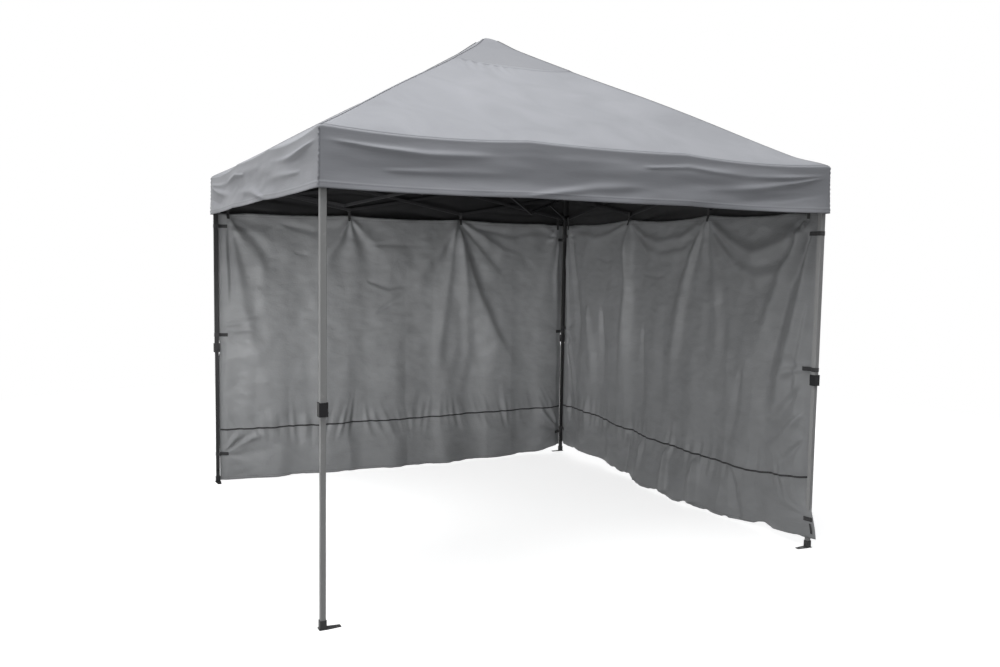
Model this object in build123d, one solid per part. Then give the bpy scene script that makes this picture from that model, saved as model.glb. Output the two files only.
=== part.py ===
from build123d import *
import os
from math import atan2, degrees, hypot, sin, sqrt

# A pop-up tent. Four telescopic legs carry a scissor truss along each side, and diagonal arms
# with a centre hub and pole that hold up the cloth roof. Cloth walls hang on the back and the right.
# Millimetres, +Z up, origin on the ground under the peak, front towards -Y.

# Plan and heights of the pitched tent
LEG_SPACING = 2950.0
EAVE_OVERHANG = 25.0
EAVE_HEIGHT = 2252.0
PEAK_HEIGHT = 3116.0
VALANCE_DROP = 269.0

# Trusses: three scissor pairs on each side
PAIRS_PER_SIDE = 3
PIVOT_BELOW_EAVE = 22.0
TRUSS_DROP = 175.0
PIVOT_INSET = 55.0
BAR_THICKNESS = 10.0
BAR_DEPTH = 20.0
BAR_WALL = 0.7
BAR_CORNER = 1.5
BAR_END = 12.0
BAR_PLANE_GAP = 4.0

# Rivets at the pivots
RIVET_RADIUS = 3.0
RIVET_CLEARANCE = 0.1
RIVET_HEAD_RADIUS = 6.0
RIVET_HEAD_HEIGHT = 2.0
RIVET_END_GAP = 0.2

# Clevis cheeks that hold the bar ends
CHEEK_THICKNESS = 2.5
CHEEK_GAP = 0.5
CHEEK_RADIUS = 12.0

# Legs
UPPER_LEG_SIZE = 30.0
UPPER_LEG_WALL = 0.9
UPPER_LEG_CORNER = 3.0
UPPER_LEG_FOOT = 1005.0
LOWER_LEG_SIZE = 25.0
LOWER_LEG_WALL = 0.9
LOWER_LEG_CORNER = 2.5
LEG_OVERLAP = 195.0
LEG_TRAVEL = 900.0

# Moulded fittings on the legs
FITTING_WALL = 6.0
FITTING_CORNER = 4.0
BRACKET_ABOVE_PIVOT = 20.0
BRACKET_BELOW_PIVOT = 24.0
BRACKET_CAP = 4.0
SLIDER_HEIGHT = 48.0
SLIDER_CLEARANCE = 0.4
COLLAR_ABOVE_STEP = 34.0
COLLAR_BELOW_STEP = 30.0
COLLAR_CLEARANCE = 0.3

# Push buttons in the collars
BUTTON_RADIUS = 6.0
BUTTON_CLEARANCE = 0.15
BUTTON_TIP_GAP = 0.3
BUTTON_PROUD = 5.0
BUTTON_ROUND = 1.5
LOCK_HOLE_RADIUS = 6.8

# Feet
FOOT_PLATE = 4.0
FOOT_SOCKET_WALL = 3.5
FOOT_SOCKET_HEIGHT = 42.0
FOOT_WIDTH = 38.0
FOOT_TOE_WIDTH = 24.0
FOOT_TOE_REACH = 84.0
PEG_HOLE_RADIUS = 5.5
PEG_HOLE_INSET = 16.0

# Centre hub and pole
HUB_PIVOT_RADIUS = 30.0
HUB_PLATE = 8.0
HUB_PLATE_CLEARANCE = 1.4
POLE_RADIUS = 14.0
POLE_WALL = 1.2
POLE_SOCKET_WALL = 6.0
POLE_SOCKET_HEIGHT = 40.0
CAP_RADIUS = 36.0
CAP_TIP_RADIUS = 24.0
CAP_LIP = 10.0
CAP_SOCKET = 22.0
CAP_CLOTH_GAP = 0.4

# Cloth
ROOF_CLOTH = 1.2
HIP_GAP = 0.6
WALL_CLOTH = 1.2
WALL_BELOW_PIVOT = 55.0
WALL_HEM_HEIGHT = 10.0
WALL_SIDE_GAP = 38.0
WALL_SET_IN = 10.0
WALL_PIPING_HEIGHT = 400.0
WALL_WAIST_HEIGHT = 1200.0
FOLDS_PER_BAY = 4
FOLD_DEPTH_TOP = 5.0
FOLD_DEPTH_WAIST = 12.0
FOLD_DEPTH_PIPING = 20.0
FOLD_DEPTH_HEM = 28.0

# Webbing that holds the walls
STRAP_CLOTH = 1.5
STRAP_WIDTH = 25.0
STRAP_CLEARANCE = 0.4
STRAP_STAGGER = 32.0
STRAP_BELOW_SLIDER = 163.0
STRAP_ABOVE_COLLAR = 30.0
STRAP_ABOVE_FOOT = 136.0
TIE_WIDTH = 20.0
TIE_CORNER = 3.0

# Values worked out from the driving dimensions
LEG_OFFSET = LEG_SPACING / 2
ROOF_OFFSET = LEG_OFFSET + EAVE_OVERHANG
ROOF_SLOPE = (PEAK_HEIGHT - EAVE_HEIGHT) / ROOF_OFFSET
TOP_PIVOT = EAVE_HEIGHT - PIVOT_BELOW_EAVE
BOTTOM_PIVOT = TOP_PIVOT - TRUSS_DROP
PAIR_SPAN = (LEG_SPACING - 2 * PIVOT_INSET) / PAIRS_PER_SIDE
BAR_REACH = hypot(PAIR_SPAN, TRUSS_DROP)
OPEN_ANGLE = degrees(atan2(TRUSS_DROP, PAIR_SPAN))
BAR_PLANE = (BAR_THICKNESS + BAR_PLANE_GAP) / 2
FITTING_SIZE = UPPER_LEG_SIZE + 2 * FITTING_WALL

# The diagonal arms keep step with the trusses when half the diagonal is two arms long
ARM_REACH = PAIRS_PER_SIDE * BAR_REACH / (2 * sqrt(2))
DIAGONAL_INSET = sqrt(2) * PIVOT_INSET - HUB_PIVOT_RADIUS
ARM_SPAN = PAIRS_PER_SIDE * PAIR_SPAN / (2 * sqrt(2))
ARM_DROP = PAIRS_PER_SIDE * TRUSS_DROP / (2 * sqrt(2))
STRUT_REACH = BAR_REACH / 2

CORNERS = ("front_left", "front_right", "back_right", "back_left")
SIDES = ("front", "right", "back", "left")
WALLED_SIDES = ("right", "back")
# The toes of the two front feet point at each other
TOE_TURNS = {"front_left": 0, "front_right": 90, "back_right": 0, "back_left": 0}
FALLING = -1
RISING = 1


def tube(width, depth, wall, corner, length):
    """Rectangular tube with rounded corners that stands on the XY plane."""
    bore_corner = max(corner - wall, corner / 4)
    bore = RectangleRounded(width - 2 * wall, depth - 2 * wall, bore_corner)
    return extrude(RectangleRounded(width, depth, corner) - bore, length)


def cross_pin(radius, start, end):
    """Round pin along Y from start to end."""
    return Pos(0, (start + end) / 2, 0) * Cylinder(radius, abs(end - start), rotation=(90, 0, 0))


def bar(reach, pivots):
    """Flat tube along +X from a first pivot at the origin, drilled at each pivot."""
    length = reach + 2 * BAR_END
    upright = tube(BAR_DEPTH, BAR_THICKNESS, BAR_WALL, BAR_CORNER, length)
    body = Pos(-BAR_END, 0, 0) * Rot(0, 90, 0) * upright
    drill = RIVET_RADIUS + RIVET_CLEARANCE
    for place in pivots:
        body -= Pos(place, 0, 0) * cross_pin(drill, -BAR_THICKNESS, BAR_THICKNESS)
    return body


def pair_rivet():
    """Rivet across the two bar planes, with a spacer ring between them."""
    face = BAR_PLANE + BAR_THICKNESS / 2 + RIVET_END_GAP
    end = face + RIVET_HEAD_HEIGHT
    spacer = BAR_PLANE_GAP / 2 - RIVET_END_GAP
    rivet = cross_pin(RIVET_RADIUS, -end, end) + cross_pin(RIVET_HEAD_RADIUS, -spacer, spacer)
    for side in (-1, 1):
        rivet += cross_pin(RIVET_HEAD_RADIUS, side * face, side * end)
    return rivet


def cheek_faces(plane):
    """Y of the two cheeks on a bar plane: outer cheek from, to, then inner cheek from, to."""
    outer = BAR_PLANE + BAR_THICKNESS / 2 + CHEEK_GAP
    inner = BAR_PLANE - BAR_THICKNESS / 2 - CHEEK_GAP
    faces = (outer, outer + CHEEK_THICKNESS, inner, inner - CHEEK_THICKNESS)
    return [plane * face for face in faces]


def clevis_rivet(plane):
    """Rivet through a clevis and the bar end between its cheeks, headed outside."""
    outer = cheek_faces(plane)[1]
    inner = cheek_faces(plane)[3]
    head = outer + plane * RIVET_END_GAP
    end = head + plane * RIVET_HEAD_HEIGHT
    return cross_pin(RIVET_RADIUS, inner, end) + cross_pin(RIVET_HEAD_RADIUS, head, end)


def cheeks(inset, plane, root):
    """Pair of cheek plates along +X from root to a rounded end about the pivot."""
    faces = cheek_faces(plane)
    pair = None
    for start, end in (faces[:2], faces[2:]):
        plate = Pos((root + inset) / 2, (start + end) / 2, 0) * Box(
            inset - root, CHEEK_THICKNESS, 2 * CHEEK_RADIUS
        )
        plate += Pos(inset, 0, 0) * cross_pin(CHEEK_RADIUS, start, end)
        pair = plate if pair is None else pair + plate
    drill = RIVET_RADIUS + RIVET_CLEARANCE
    return pair - Pos(inset, 0, 0) * cross_pin(drill, faces[1] + plane, faces[3] - plane)


def sleeve(bottom, top):
    """Square moulded block round a leg, between two heights."""
    block = Pos(0, 0, (bottom + top) / 2) * Box(FITTING_SIZE, FITTING_SIZE, top - bottom)
    return fillet(block.edges().filter_by(Axis.Z), FITTING_CORNER)


def lugs(plane):
    """Three clevises at a leg: two for the trusses, and one for the diagonal."""
    root = FITTING_SIZE / 4
    group = cheeks(PIVOT_INSET, plane, root)
    group += Rot(0, 0, 90) * cheeks(PIVOT_INSET, plane, root)
    return group + Rot(0, 0, 45) * cheeks(DIAGONAL_INSET, plane, root)


def top_bracket():
    """Capped bracket on the head of an upper leg."""
    body = sleeve(-BRACKET_BELOW_PIVOT, BRACKET_ABOVE_PIVOT) + lugs(FALLING)
    depth = BRACKET_ABOVE_PIVOT + BRACKET_BELOW_PIVOT
    bore = Box(UPPER_LEG_SIZE, UPPER_LEG_SIZE, depth)
    return Pos(0, 0, TOP_PIVOT) * (
        body - Pos(0, 0, BRACKET_ABOVE_PIVOT - BRACKET_CAP - depth / 2) * bore
    )


def slider():
    """Bracket that runs up and down on an upper leg."""
    body = sleeve(-SLIDER_HEIGHT / 2, SLIDER_HEIGHT / 2) + lugs(RISING)
    bore_size = UPPER_LEG_SIZE + 2 * SLIDER_CLEARANCE
    return Pos(0, 0, BOTTOM_PIVOT) * (body - Box(bore_size, bore_size, 2 * SLIDER_HEIGHT))


def upper_leg():
    """Upper leg tube, from the step in its collar to the bracket's cap."""
    top = TOP_PIVOT + BRACKET_ABOVE_PIVOT - BRACKET_CAP
    leg = tube(UPPER_LEG_SIZE, UPPER_LEG_SIZE, UPPER_LEG_WALL, UPPER_LEG_CORNER, top - UPPER_LEG_FOOT)
    return Pos(0, 0, UPPER_LEG_FOOT) * leg


def button_height():
    """Height of the push button, halfway up the collar's lower bore."""
    return UPPER_LEG_FOOT - COLLAR_BELOW_STEP / 2


def collar():
    """Height collar: the upper leg sits on its step, and the lower leg slides through."""
    body = sleeve(UPPER_LEG_FOOT - COLLAR_BELOW_STEP, UPPER_LEG_FOOT + COLLAR_ABOVE_STEP)
    socket = Box(UPPER_LEG_SIZE, UPPER_LEG_SIZE, 2 * COLLAR_ABOVE_STEP)
    body -= Pos(0, 0, UPPER_LEG_FOOT + COLLAR_ABOVE_STEP) * socket
    bore_size = LOWER_LEG_SIZE + 2 * COLLAR_CLEARANCE
    body -= Pos(0, 0, UPPER_LEG_FOOT) * Box(bore_size, bore_size, 4 * COLLAR_BELOW_STEP)
    bore = Cylinder(BUTTON_RADIUS + BUTTON_CLEARANCE, FITTING_SIZE, rotation=(0, 90, 0))
    return body - Pos(FITTING_SIZE / 2, 0, button_height()) * bore


def button():
    """Push button that slides in the collar towards the lower leg."""
    inner = LOWER_LEG_SIZE / 2 + BUTTON_TIP_GAP
    outer = FITTING_SIZE / 2 + BUTTON_PROUD
    pin = Pos((inner + outer) / 2, 0, button_height()) * Cylinder(
        BUTTON_RADIUS, outer - inner, rotation=(0, 90, 0)
    )
    return fillet(pin.edges().sort_by(Axis.X)[-1:], BUTTON_ROUND)


def lower_leg():
    """Lower leg tube, with a lock hole for each end of its travel."""
    top = UPPER_LEG_FOOT + LEG_OVERLAP
    leg = tube(LOWER_LEG_SIZE, LOWER_LEG_SIZE, LOWER_LEG_WALL, LOWER_LEG_CORNER, top - FOOT_PLATE)
    leg = Pos(0, 0, FOOT_PLATE) * leg
    drill = Cylinder(LOCK_HOLE_RADIUS, LOWER_LEG_SIZE, rotation=(0, 90, 0))
    for height in (button_height(), button_height() - LEG_TRAVEL):
        leg -= Pos(LOWER_LEG_SIZE / 2, 0, height) * drill
    return leg


def foot():
    """Foot with a socket for the lower leg and a tapered toe with a peg hole."""
    heel = -FOOT_WIDTH / 2
    half = FOOT_WIDTH / 2
    toe = FOOT_TOE_WIDTH / 2
    outline = Polyline(
        (heel, -half),
        (half, -half),
        (FOOT_TOE_REACH, -toe),
        (FOOT_TOE_REACH, toe),
        (half, half),
        (heel, half),
        close=True,
    )
    plate = extrude(make_face(outline), FOOT_PLATE)
    socket_size = LOWER_LEG_SIZE + 2 * FOOT_SOCKET_WALL
    socket = Pos(0, 0, FOOT_SOCKET_HEIGHT / 2) * Box(socket_size, socket_size, FOOT_SOCKET_HEIGHT)
    bore = Box(LOWER_LEG_SIZE, LOWER_LEG_SIZE, FOOT_SOCKET_HEIGHT)
    body = plate + fillet(socket.edges().filter_by(Axis.Z), FOOT_SOCKET_WALL)
    body -= Pos(0, 0, FOOT_PLATE + FOOT_SOCKET_HEIGHT / 2) * bore
    peg_hole = Cylinder(PEG_HOLE_RADIUS, 4 * FOOT_PLATE)
    return body - Pos(FOOT_TOE_REACH - PEG_HOLE_INSET, 0, 0) * peg_hole


def side_bars():
    """Bars of one side from its first leg axis, with the rivets that ride on each."""
    bars = {}
    middle = BAR_REACH / 2
    start_height = {FALLING: TOP_PIVOT, RISING: BOTTOM_PIVOT}
    for number in range(1, PAIRS_PER_SIDE + 1):
        start = PIVOT_INSET + (number - 1) * PAIR_SPAN
        for plane, kind in ((FALLING, "falling"), (RISING, "rising")):
            solids = [Pos(0, plane * BAR_PLANE, 0) * bar(BAR_REACH, (0, middle, BAR_REACH))]
            if number == 1:
                solids.append(clevis_rivet(plane))
            if plane == FALLING:
                solids.append(Pos(middle, 0, 0) * pair_rivet())
            far_rivet = clevis_rivet(plane) if number == PAIRS_PER_SIDE else pair_rivet()
            solids.append(Pos(BAR_REACH, 0, 0) * far_rivet)
            seat = Pos(start, 0, start_height[plane]) * Rot(0, -plane * OPEN_ANGLE, 0)
            bars[f"truss_bar_{number}_{kind}"] = [seat * solid for solid in solids]
    return bars


def diagonal_bars():
    """Outer arm, inner arm and strut of one corner, along +X from its leg axis."""
    knee = DIAGONAL_INSET + ARM_SPAN
    outer = [
        Pos(0, FALLING * BAR_PLANE, 0) * bar(ARM_REACH, (0, STRUT_REACH, ARM_REACH)),
        clevis_rivet(FALLING),
        Pos(STRUT_REACH, 0, 0) * pair_rivet(),
        Pos(ARM_REACH, 0, 0) * pair_rivet(),
    ]
    inner = [
        Pos(0, RISING * BAR_PLANE, 0) * bar(ARM_REACH, (0, ARM_REACH)),
        Pos(ARM_REACH, 0, 0) * clevis_rivet(RISING),
    ]
    strut = [
        Pos(0, RISING * BAR_PLANE, 0) * bar(STRUT_REACH, (0, STRUT_REACH)),
        clevis_rivet(RISING),
    ]
    outer_seat = Pos(DIAGONAL_INSET, 0, TOP_PIVOT) * Rot(0, OPEN_ANGLE, 0)
    inner_seat = Pos(knee, 0, TOP_PIVOT - ARM_DROP) * Rot(0, -OPEN_ANGLE, 0)
    strut_seat = Pos(DIAGONAL_INSET, 0, BOTTOM_PIVOT) * Rot(0, -OPEN_ANGLE, 0)
    return {
        "outer_arm": [outer_seat * solid for solid in outer],
        "inner_arm": [inner_seat * solid for solid in inner],
        "strut": [strut_seat * solid for solid in strut],
    }


def hub_plate_height():
    """Underside of the hub plate, above the swing of the arm ends."""
    return TOP_PIVOT + hypot(BAR_END, BAR_DEPTH / 2) + HUB_PLATE_CLEARANCE


def hub():
    """Hub plate with a pole socket above and four clevises below."""
    under = hub_plate_height()
    radius = hypot(HUB_PIVOT_RADIUS + CHEEK_RADIUS, cheek_faces(RISING)[1])
    body = Pos(0, 0, under + HUB_PLATE / 2) * Cylinder(radius, HUB_PLATE)
    boss_top = under + HUB_PLATE + POLE_SOCKET_HEIGHT
    boss = Cylinder(POLE_RADIUS + POLE_SOCKET_WALL, POLE_SOCKET_HEIGHT)
    body += Pos(0, 0, boss_top - POLE_SOCKET_HEIGHT / 2) * boss
    body -= Pos(0, 0, boss_top) * Cylinder(POLE_RADIUS, 2 * POLE_SOCKET_HEIGHT)
    height = under - TOP_PIVOT
    for turn in range(4):
        lug = cheeks(HUB_PIVOT_RADIUS, FALLING, HUB_PIVOT_RADIUS - CHEEK_RADIUS)
        faces = cheek_faces(FALLING)
        for start, end in (faces[:2], faces[2:]):
            riser = Box(2 * CHEEK_RADIUS, CHEEK_THICKNESS, height - RIVET_HEAD_RADIUS)
            middle = (height + RIVET_HEAD_RADIUS) / 2
            lug += Pos(HUB_PIVOT_RADIUS, (start + end) / 2, middle) * riser
        body += Pos(0, 0, TOP_PIVOT) * Rot(0, 0, 45 + 90 * turn) * lug
    return body


def cap_height():
    """Top of the pole cap, just under the cloth at the peak."""
    return PEAK_HEIGHT - ROOF_CLOTH * hypot(1, ROOF_SLOPE) - ROOF_SLOPE * CAP_TIP_RADIUS - CAP_CLOTH_GAP


def pole_and_cap():
    """Centre pole tube and the cap that spreads the cloth at the peak."""
    base = hub_plate_height() + HUB_PLATE
    fall = ROOF_SLOPE * (CAP_RADIUS - CAP_TIP_RADIUS)
    shoulder = cap_height() - fall
    cap = Pos(0, 0, shoulder + fall / 2) * Cone(CAP_RADIUS, CAP_TIP_RADIUS, fall)
    cap += Pos(0, 0, shoulder - CAP_LIP / 2) * Cylinder(CAP_RADIUS, CAP_LIP)
    pole_top = shoulder - CAP_LIP + CAP_SOCKET
    cap -= Pos(0, 0, pole_top - CAP_SOCKET) * Cylinder(POLE_RADIUS, 2 * CAP_SOCKET)
    pole = Cylinder(POLE_RADIUS, pole_top - base) - Cylinder(POLE_RADIUS - POLE_WALL, pole_top - base)
    return [Pos(0, 0, (base + pole_top) / 2) * pole, cap]


def roof_panel():
    """Front slope of the roof with its valance, mitred along both hips."""
    rise = ROOF_CLOTH * hypot(1, ROOF_SLOPE)
    eave = -ROOF_OFFSET
    hem = EAVE_HEIGHT - VALANCE_DROP
    under_eave = EAVE_HEIGHT + ROOF_SLOPE * ROOF_CLOTH - rise
    profile = Polyline(
        (0, PEAK_HEIGHT),
        (eave, EAVE_HEIGHT),
        (eave, hem),
        (eave + ROOF_CLOTH, hem),
        (eave + ROOF_CLOTH, under_eave),
        (0, PEAK_HEIGHT - rise),
        close=True,
    )
    strip = extrude(Plane.YZ * make_face(profile), ROOF_OFFSET, both=True)
    reach = 2 * ROOF_OFFSET
    tip = -HIP_GAP / sqrt(2)
    wedge = Polyline((0, tip), (-reach, tip - reach), (reach, tip - reach), close=True)
    return strip & extrude(make_face(wedge), 2 * PEAK_HEIGHT)


def tie_places():
    """Where the lower truss joints lie along a side, from its middle."""
    first = PIVOT_INSET - LEG_OFFSET
    return [first + number * PAIR_SPAN for number in range(1, PAIRS_PER_SIDE)]


def fold_edges():
    """Where the folds of a wall meet: each bay between ends and ties is split evenly."""
    end = LEG_OFFSET - WALL_SIDE_GAP
    held = [-end, *tie_places(), end]
    edges = [-end]
    for left, right in zip(held, held[1:]):
        step = (right - left) / FOLDS_PER_BAY
        edges += [left + step * (fold + 1) for fold in range(FOLDS_PER_BAY)]
    return edges


def wall_section(height, depth):
    """Slice of a hanging wall: alternating folds as arcs, one cloth thick."""
    edges = fold_edges()
    lines = []
    for back in (0, WALL_CLOTH):
        for fold, (left, right) in enumerate(zip(edges, edges[1:])):
            bulge = depth * (-1) ** fold * (0.6 + 0.4 * sin(2.1 * fold + 0.5))
            lines.append(
                ThreePointArc(
                    (left, back, height),
                    ((left + right) / 2, bulge + back, height),
                    (right, back, height),
                )
            )
    for end in (edges[0], edges[-1]):
        lines.append(Line((end, 0, height), (end, WALL_CLOTH, height)))
    return make_face(lines)


def leg_strap(size, corner, direction):
    """Strap round a leg at the origin, with a tab along X to the edge of the wall."""
    inner = size / 2 + STRAP_CLEARANCE
    outer = inner + STRAP_CLOTH
    band_corner = corner + STRAP_CLEARANCE + STRAP_CLOTH
    band = tube(2 * outer, 2 * outer, STRAP_CLOTH, band_corner, STRAP_WIDTH)
    root = (inner + outer) / 2
    tab = Box(WALL_SIDE_GAP - root, WALL_CLOTH, STRAP_WIDTH)
    middle = (root + WALL_SIDE_GAP) / 2
    strap = band + Pos(direction * middle, WALL_SET_IN + WALL_CLOTH / 2, STRAP_WIDTH / 2) * tab
    return Pos(0, 0, -STRAP_WIDTH / 2) * strap


def wall_tie():
    """Loop round the bars at a lower truss joint, with a tail to the top edge of the wall."""
    lean = TRUSS_DROP / PAIR_SPAN
    half_height = BAR_DEPTH / 2 * hypot(1, lean) + lean * TIE_WIDTH / 2 + STRAP_CLEARANCE
    rivet_end = BAR_PLANE + BAR_THICKNESS / 2 + RIVET_END_GAP + RIVET_HEAD_HEIGHT
    loop_height = 2 * (half_height + STRAP_CLOTH)
    loop_width = 2 * (rivet_end + STRAP_CLEARANCE + STRAP_CLOTH)
    loop = Rot(0, 90, 0) * tube(loop_height, loop_width, STRAP_CLOTH, TIE_CORNER, TIE_WIDTH)
    top = half_height + STRAP_CLOTH / 2
    tail = Box(TIE_WIDTH, WALL_CLOTH, WALL_BELOW_PIVOT - top)
    seat = Pos(0, WALL_SET_IN + WALL_CLOTH / 2, -(top + WALL_BELOW_PIVOT) / 2)
    return Pos(-TIE_WIDTH / 2, 0, 0) * loop + seat * tail


def wall():
    """Cloth wall along the front side, with its folds, leg straps and ties."""
    sections = [
        wall_section(BOTTOM_PIVOT - WALL_BELOW_PIVOT, FOLD_DEPTH_TOP),
        wall_section(WALL_WAIST_HEIGHT, FOLD_DEPTH_WAIST),
        wall_section(WALL_PIPING_HEIGHT, FOLD_DEPTH_PIPING),
        wall_section(WALL_HEM_HEIGHT, FOLD_DEPTH_HEM),
    ]
    solids = [Pos(0, WALL_SET_IN - LEG_OFFSET, 0) * loft(sections, ruled=True)]
    for direction in (1, -1):
        upper = leg_strap(UPPER_LEG_SIZE, UPPER_LEG_CORNER, direction)
        lower = leg_strap(LOWER_LEG_SIZE, LOWER_LEG_CORNER, direction)
        raised = STRAP_STAGGER if direction == -1 else 0
        leg = Pos(-direction * LEG_OFFSET, -LEG_OFFSET, raised)
        solids.append(leg * Pos(0, 0, BOTTOM_PIVOT - SLIDER_HEIGHT / 2 - STRAP_BELOW_SLIDER) * upper)
        solids.append(leg * Pos(0, 0, UPPER_LEG_FOOT + COLLAR_ABOVE_STEP + STRAP_ABOVE_COLLAR) * upper)
        solids.append(leg * Pos(0, 0, FOOT_SOCKET_HEIGHT + STRAP_ABOVE_FOOT) * lower)
    for place in tie_places():
        solids.append(Pos(place, -LEG_OFFSET, BOTTOM_PIVOT) * wall_tie())
    return solids


def build_nodes():
    """Every node of the tent as a list of solids, by name."""
    nodes = {"centre_hub": [hub()], "centre_pole": pole_and_cap()}
    leg_seat = Pos(-LEG_OFFSET, -LEG_OFFSET, 0)
    corner_nodes = {
        "upper_leg": [upper_leg(), top_bracket(), collar()],
        "slider": [slider()],
        "lower_leg": [lower_leg()],
        "height_button": [button()],
    }
    for name, solids in diagonal_bars().items():
        corner_nodes[name] = [Rot(0, 0, 45) * solid for solid in solids]
    bars = side_bars()
    leg_foot = foot()
    panel = roof_panel()
    wall_solids = wall()
    for turn, (corner, side) in enumerate(zip(CORNERS, SIDES)):
        place = Rot(0, 0, 90 * turn)
        for name, solids in corner_nodes.items():
            nodes[f"{corner}_{name}"] = [place * leg_seat * solid for solid in solids]
        toe_turn = Rot(0, 0, TOE_TURNS[corner])
        nodes[f"{corner}_lower_leg"].append(place * leg_seat * toe_turn * leg_foot)
        for name, solids in bars.items():
            nodes[f"{side}_{name}"] = [place * leg_seat * solid for solid in solids]
        nodes[f"{side}_roof_panel"] = [place * panel]
        if side in WALLED_SIDES:
            nodes[f"{side}_wall"] = [place * solid for solid in wall_solids]
    return nodes


def main():
    """Write one file for each node."""
    os.makedirs("parts", exist_ok=True)
    for name, shapes in build_nodes().items():
        solids = [solid for shape in shapes for solid in shape.solids()]
        export_step(Compound(solids), f"parts/{name}.step")


if __name__ == "__main__":
    main()
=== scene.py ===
"""Pop-up tent: cloth roof with its valance, two hanging walls and a folding frame, in a plain studio."""

import logging
import math
from dataclasses import dataclass, field
from enum import Enum
from typing import Callable, Sequence

import bmesh
import bpy
import numpy as np
from mathutils import Matrix, Vector, noise


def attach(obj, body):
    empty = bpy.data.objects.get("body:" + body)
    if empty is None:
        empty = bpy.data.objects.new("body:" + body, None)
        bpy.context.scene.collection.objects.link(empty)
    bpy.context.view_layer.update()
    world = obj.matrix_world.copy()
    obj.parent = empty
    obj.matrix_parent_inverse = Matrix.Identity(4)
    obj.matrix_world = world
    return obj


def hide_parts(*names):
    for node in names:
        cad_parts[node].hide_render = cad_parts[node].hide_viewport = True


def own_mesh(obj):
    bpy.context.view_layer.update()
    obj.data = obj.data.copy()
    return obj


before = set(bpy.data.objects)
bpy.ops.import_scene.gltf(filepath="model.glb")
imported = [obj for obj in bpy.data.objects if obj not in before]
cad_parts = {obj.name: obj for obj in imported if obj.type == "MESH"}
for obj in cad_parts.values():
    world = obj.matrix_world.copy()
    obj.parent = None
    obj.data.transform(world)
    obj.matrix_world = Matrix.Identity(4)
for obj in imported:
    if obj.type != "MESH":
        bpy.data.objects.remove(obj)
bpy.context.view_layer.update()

LOG = logging.getLogger("tent")
Colour = tuple[float, float, float]
Shape = Callable[[np.ndarray, np.ndarray], tuple[np.ndarray, np.ndarray]]
CORNERS = ("front_left", "front_right", "back_right", "back_left")
NOISE_GAIN = 1.6
TUBE_UV = (0.02, 0.012)


class Side(Enum):
    """Sides of the tent, as quarter turns from the front."""

    FRONT = 0
    RIGHT = 1
    BACK = 2
    LEFT = 3

    @property
    def label(self) -> str:
        """Name of the side as the frame spells it."""
        return self.name.lower()

    @property
    def turn(self) -> Matrix:
        """Turn that takes the front side to this one."""
        return Matrix.Rotation(self.value * math.pi / 2, 3, "Z")

    @property
    def corners(self) -> tuple[str, str]:
        """First and second corner, from left to right seen from outside."""
        return CORNERS[self.value], CORNERS[(self.value + 1) % 4]

    def place(self, points: np.ndarray) -> np.ndarray:
        """Turn points of the front side to this side.

        Args:
            points: rows of x, y and z.

        Returns:
            The turned rows.
        """
        return points @ np.array(self.turn).T

    def along(self) -> Vector:
        """Direction from the first corner to the second."""
        return self.turn @ Vector((1, 0, 0))


@dataclass(frozen=True)
class TentSizes:
    """Main sizes of the pitched tent, in metres."""

    leg: float = 1.475
    edge: float = 1.5
    eave: float = 2.252
    peak: float = 3.116
    valance: float = 0.269
    lower_joint: float = 2.055
    joint_across: float = 0.4733
    wall_top: float = 2.0
    wall_hem: float = 0.010
    wall_half: float = 1.437
    wall_set_in: float = 0.010
    upper_tube: float = 0.030
    lower_tube: float = 0.025
    cloth: float = 0.0012
    webbing: float = 0.0015
    foot_top: float = 0.0424
    bracket_cap: float = 2.2461
    leg_keep: float = 0.089
    slope_keep: float = 0.2972

    @property
    def pitch(self) -> float:
        """Fall of the roof for each metre outwards."""
        return (self.peak - self.eave) / self.edge


TENT = TentSizes()


def ease(values: np.ndarray, low: float, high: float) -> np.ndarray:
    """Smooth step from 0 at low to 1 at high.

    Args:
        values: where to read the step.
        low: where it starts.
        high: where it ends.

    Returns:
        The step at each value.
    """
    share = np.clip((values - low) / (high - low), 0.0, 1.0)
    return share * share * (3 - 2 * share)


def crumple(across: np.ndarray, down: np.ndarray, pitch: tuple[float, float], seed: float) -> np.ndarray:
    """Smooth irregular waves over a sheet.

    Args:
        across: first coordinate on the sheet, in metres.
        down: second coordinate on the sheet, in metres.
        pitch: size of the waves each way, in metres.
        seed: which waves.

    Returns:
        A height from about -1 to 1 at each point.
    """
    rows = zip(across / pitch[0], down / pitch[1])
    return np.array([noise.noise((float(a), float(b), seed)) for a, b in rows]) * NOISE_GAIN


@dataclass(frozen=True)
class Waves:
    """Irregular waves of one size over a sheet."""

    depth: float
    pitch: tuple[float, float]
    seed: float

    def height(self, across: np.ndarray, down: np.ndarray, seed: float) -> np.ndarray:
        """Height of the waves over the sheet.

        Args:
            across: first coordinate on the sheet, in metres.
            down: second coordinate on the sheet, in metres.
            seed: the sheet's own seed.

        Returns:
            Metres that the waves stand out at each point.
        """
        return self.depth * crumple(across, down, self.pitch, seed + self.seed)


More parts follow.
